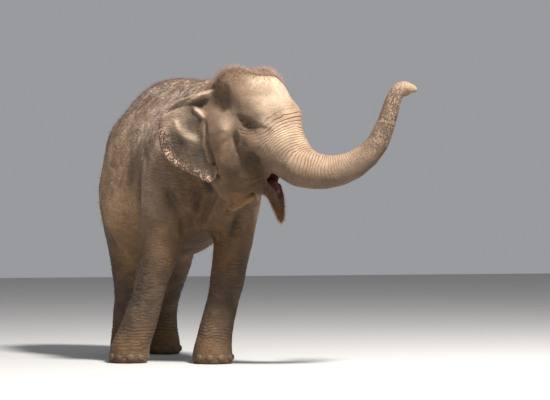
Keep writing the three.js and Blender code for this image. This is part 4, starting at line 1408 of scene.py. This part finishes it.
def makeCoat(name, share, chart, seed):
    coat = coats[name]
    count = coat["count"]
    draw = np.random.default_rng(seed)
    roots, out = rootsOn(share, count, draw)
    out = unit(out)
    lie = lieOfCoat(roots.astype(np.float32))
    lie -= out * (lie * out).sum(1)[:, None] * coat["flat"]
    lie = unit(lie)
    stand = np.clip(coat["stand"] + draw.normal(0, coat["scatter"] / 2, count), 0.03, 1)[:, None]
    way = unit(out * stand + lie * (1 - stand) + draw.normal(0, coat["scatter"], (count, 3)))
    bend = lie * 0.5 + draw.normal(0, 0.6, (count, 3))
    across = unit(np.cross(way, out + draw.normal(0, 0.3, (count, 3))))
    side = np.cross(way, across)
    length = coat["length"] * draw.uniform(0.45, 1.1, count) * coat["lengths"](roots)
    thick = coat["thick"] * draw.uniform(0.7, 1.2, count)

    piece, one = hairMesh(name, count, coat["cuts"])
    up = one[:, 2] + 0.5
    wide = np.hypot(one[:, 0], one[:, 1]) ** 0.6
    angle = np.arctan2(one[:, 1], one[:, 0])
    curve = way[:, None] * up[None, :, None] + bend[:, None] * (coat["curl"] * up ** 2)[None, :, None]
    spread = across[:, None] * (wide * np.cos(angle))[None, :, None]
    spread += side[:, None] * (wide * np.sin(angle))[None, :, None]
    places = roots[:, None] + curve * length[:, None, None] + spread * thick[:, None, None]
    places -= out[:, None] * hairSizes["sunk"]
    placePoints(piece, places.reshape(-1, 3))
    store(piece, "alongHair", np.tile(up, count))
    store(piece, "shade", np.repeat(draw.uniform(0.6, 1.4, count), len(one)))

    # each hair is a patch of the colour map at the place of its root
    middle = placeOnMap(roots, chart)
    patch = np.stack([one[:, 0], one[:, 1] + up * 0.8], 1) * hairSizes["patch"] * 0.4
    for old in list(piece.data.uv_layers):
        piece.data.uv_layers.remove(old)
    layer = piece.data.uv_layers.new(name="OFBake")
    flat = np.clip(middle[:, None] + patch[None], 0.001, 0.999).reshape(-1, 2)
    layer.data.foreach_set("uv", flat[cornersOf(piece)].astype(np.float32).ravel())
    return piece


chart = unwrapSkin()
co, normals = pointsOf(skin), normalsOf(skin)
for seed, (name, coat) in enumerate(coats.items(), 7):
    share = np.maximum(coat["share"](co, normals), 0) * np.where(flap > 0.4, 0.15, 1)
    piece = makeCoat(name, share, chart, seed)
    dress(piece, makeHairMaterial(name, coat["root"], coat["tip"]), "hair", *coat["replaces"])
    print(name, len(piece.data.polygons), "triangles")


stage = {
    "floorSize": 60.0,
    "floorColour": (0.42, 0.42, 0.42, 1),
    "skyColour": (0.95, 0.96, 1.0, 1),
    "skyStrength": 0.34,
    "aim": (0, 0, 1.3),  # the lights point here
}
softLights = {
    "keyLight": {"place": (1.8, -7.5, 11.5), "size": 2.0, "power": 4700, "colour": (1.0, 0.96, 0.91)},
    "fillLight": {"place": (-9.0, -9.0, 4.0), "size": 6.0, "power": 270, "colour": (1.0, 0.97, 0.94)},
}
view = {
    "place": (-6.932, -20.889, 1.250),  # from the middle of the shoulders
    "turn": math.radians(20),
    "focal": 2552,  # in pixels
    "picture": (550, 400),
    "levelRow": 217,  # the row of pixels at the camera's own height
    "film": 36,
}

bpy.ops.object.select_all(action="DESELECT")
bpy.ops.mesh.primitive_plane_add(size=stage["floorSize"], location=(0, 0, 0))
floor = bpy.context.active_object
floor.name = "floor"
floorMaterial, floorShader = newMaterial("paleFloor", 0.9)
floorShader.inputs["Base Color"].default_value = stage["floorColour"]
floor.data.materials.append(floorMaterial)

for name, lamp in softLights.items():
    light = bpy.data.lights.new(name, "AREA")
    light.shape = "DISK"
    light.size = lamp["size"]
    light.energy = lamp["power"]
    light.color = lamp["colour"]
    hung = bpy.data.objects.new(name, light)
    hung.location = lamp["place"]
    aim = Vector(stage["aim"]) - Vector(lamp["place"])
    hung.rotation_euler = aim.to_track_quat("-Z", "Y").to_euler()
    bpy.context.scene.collection.objects.link(hung)

world = bpy.data.worlds.new("studio")
world.use_nodes = True
world.node_tree.nodes["Background"].inputs["Color"].default_value = stage["skyColour"]
world.node_tree.nodes["Background"].inputs["Strength"].default_value = stage["skyStrength"]
bpy.context.scene.world = world
bpy.context.scene.view_settings.view_transform = "Standard"

camera = bpy.data.objects.new("camera", bpy.data.cameras.new("camera"))
camera.data.sensor_width = view["film"]
camera.data.lens = view["focal"] * view["film"] / view["picture"][0]
camera.data.clip_end = 200
rise = (view["levelRow"] - view["picture"][1] / 2) / view["focal"]
look = Vector((math.sin(view["turn"]), math.cos(view["turn"]), rise))
camera.location = Vector(view["place"]) + Vector((shoulderPlace[0], shoulderPlace[1], 0))
camera.rotation_euler = look.to_track_quat("-Z", "Y").to_euler()
bpy.context.scene.collection.objects.link(camera)
bpy.context.scene.camera = camera
print("floor, lights and camera set")
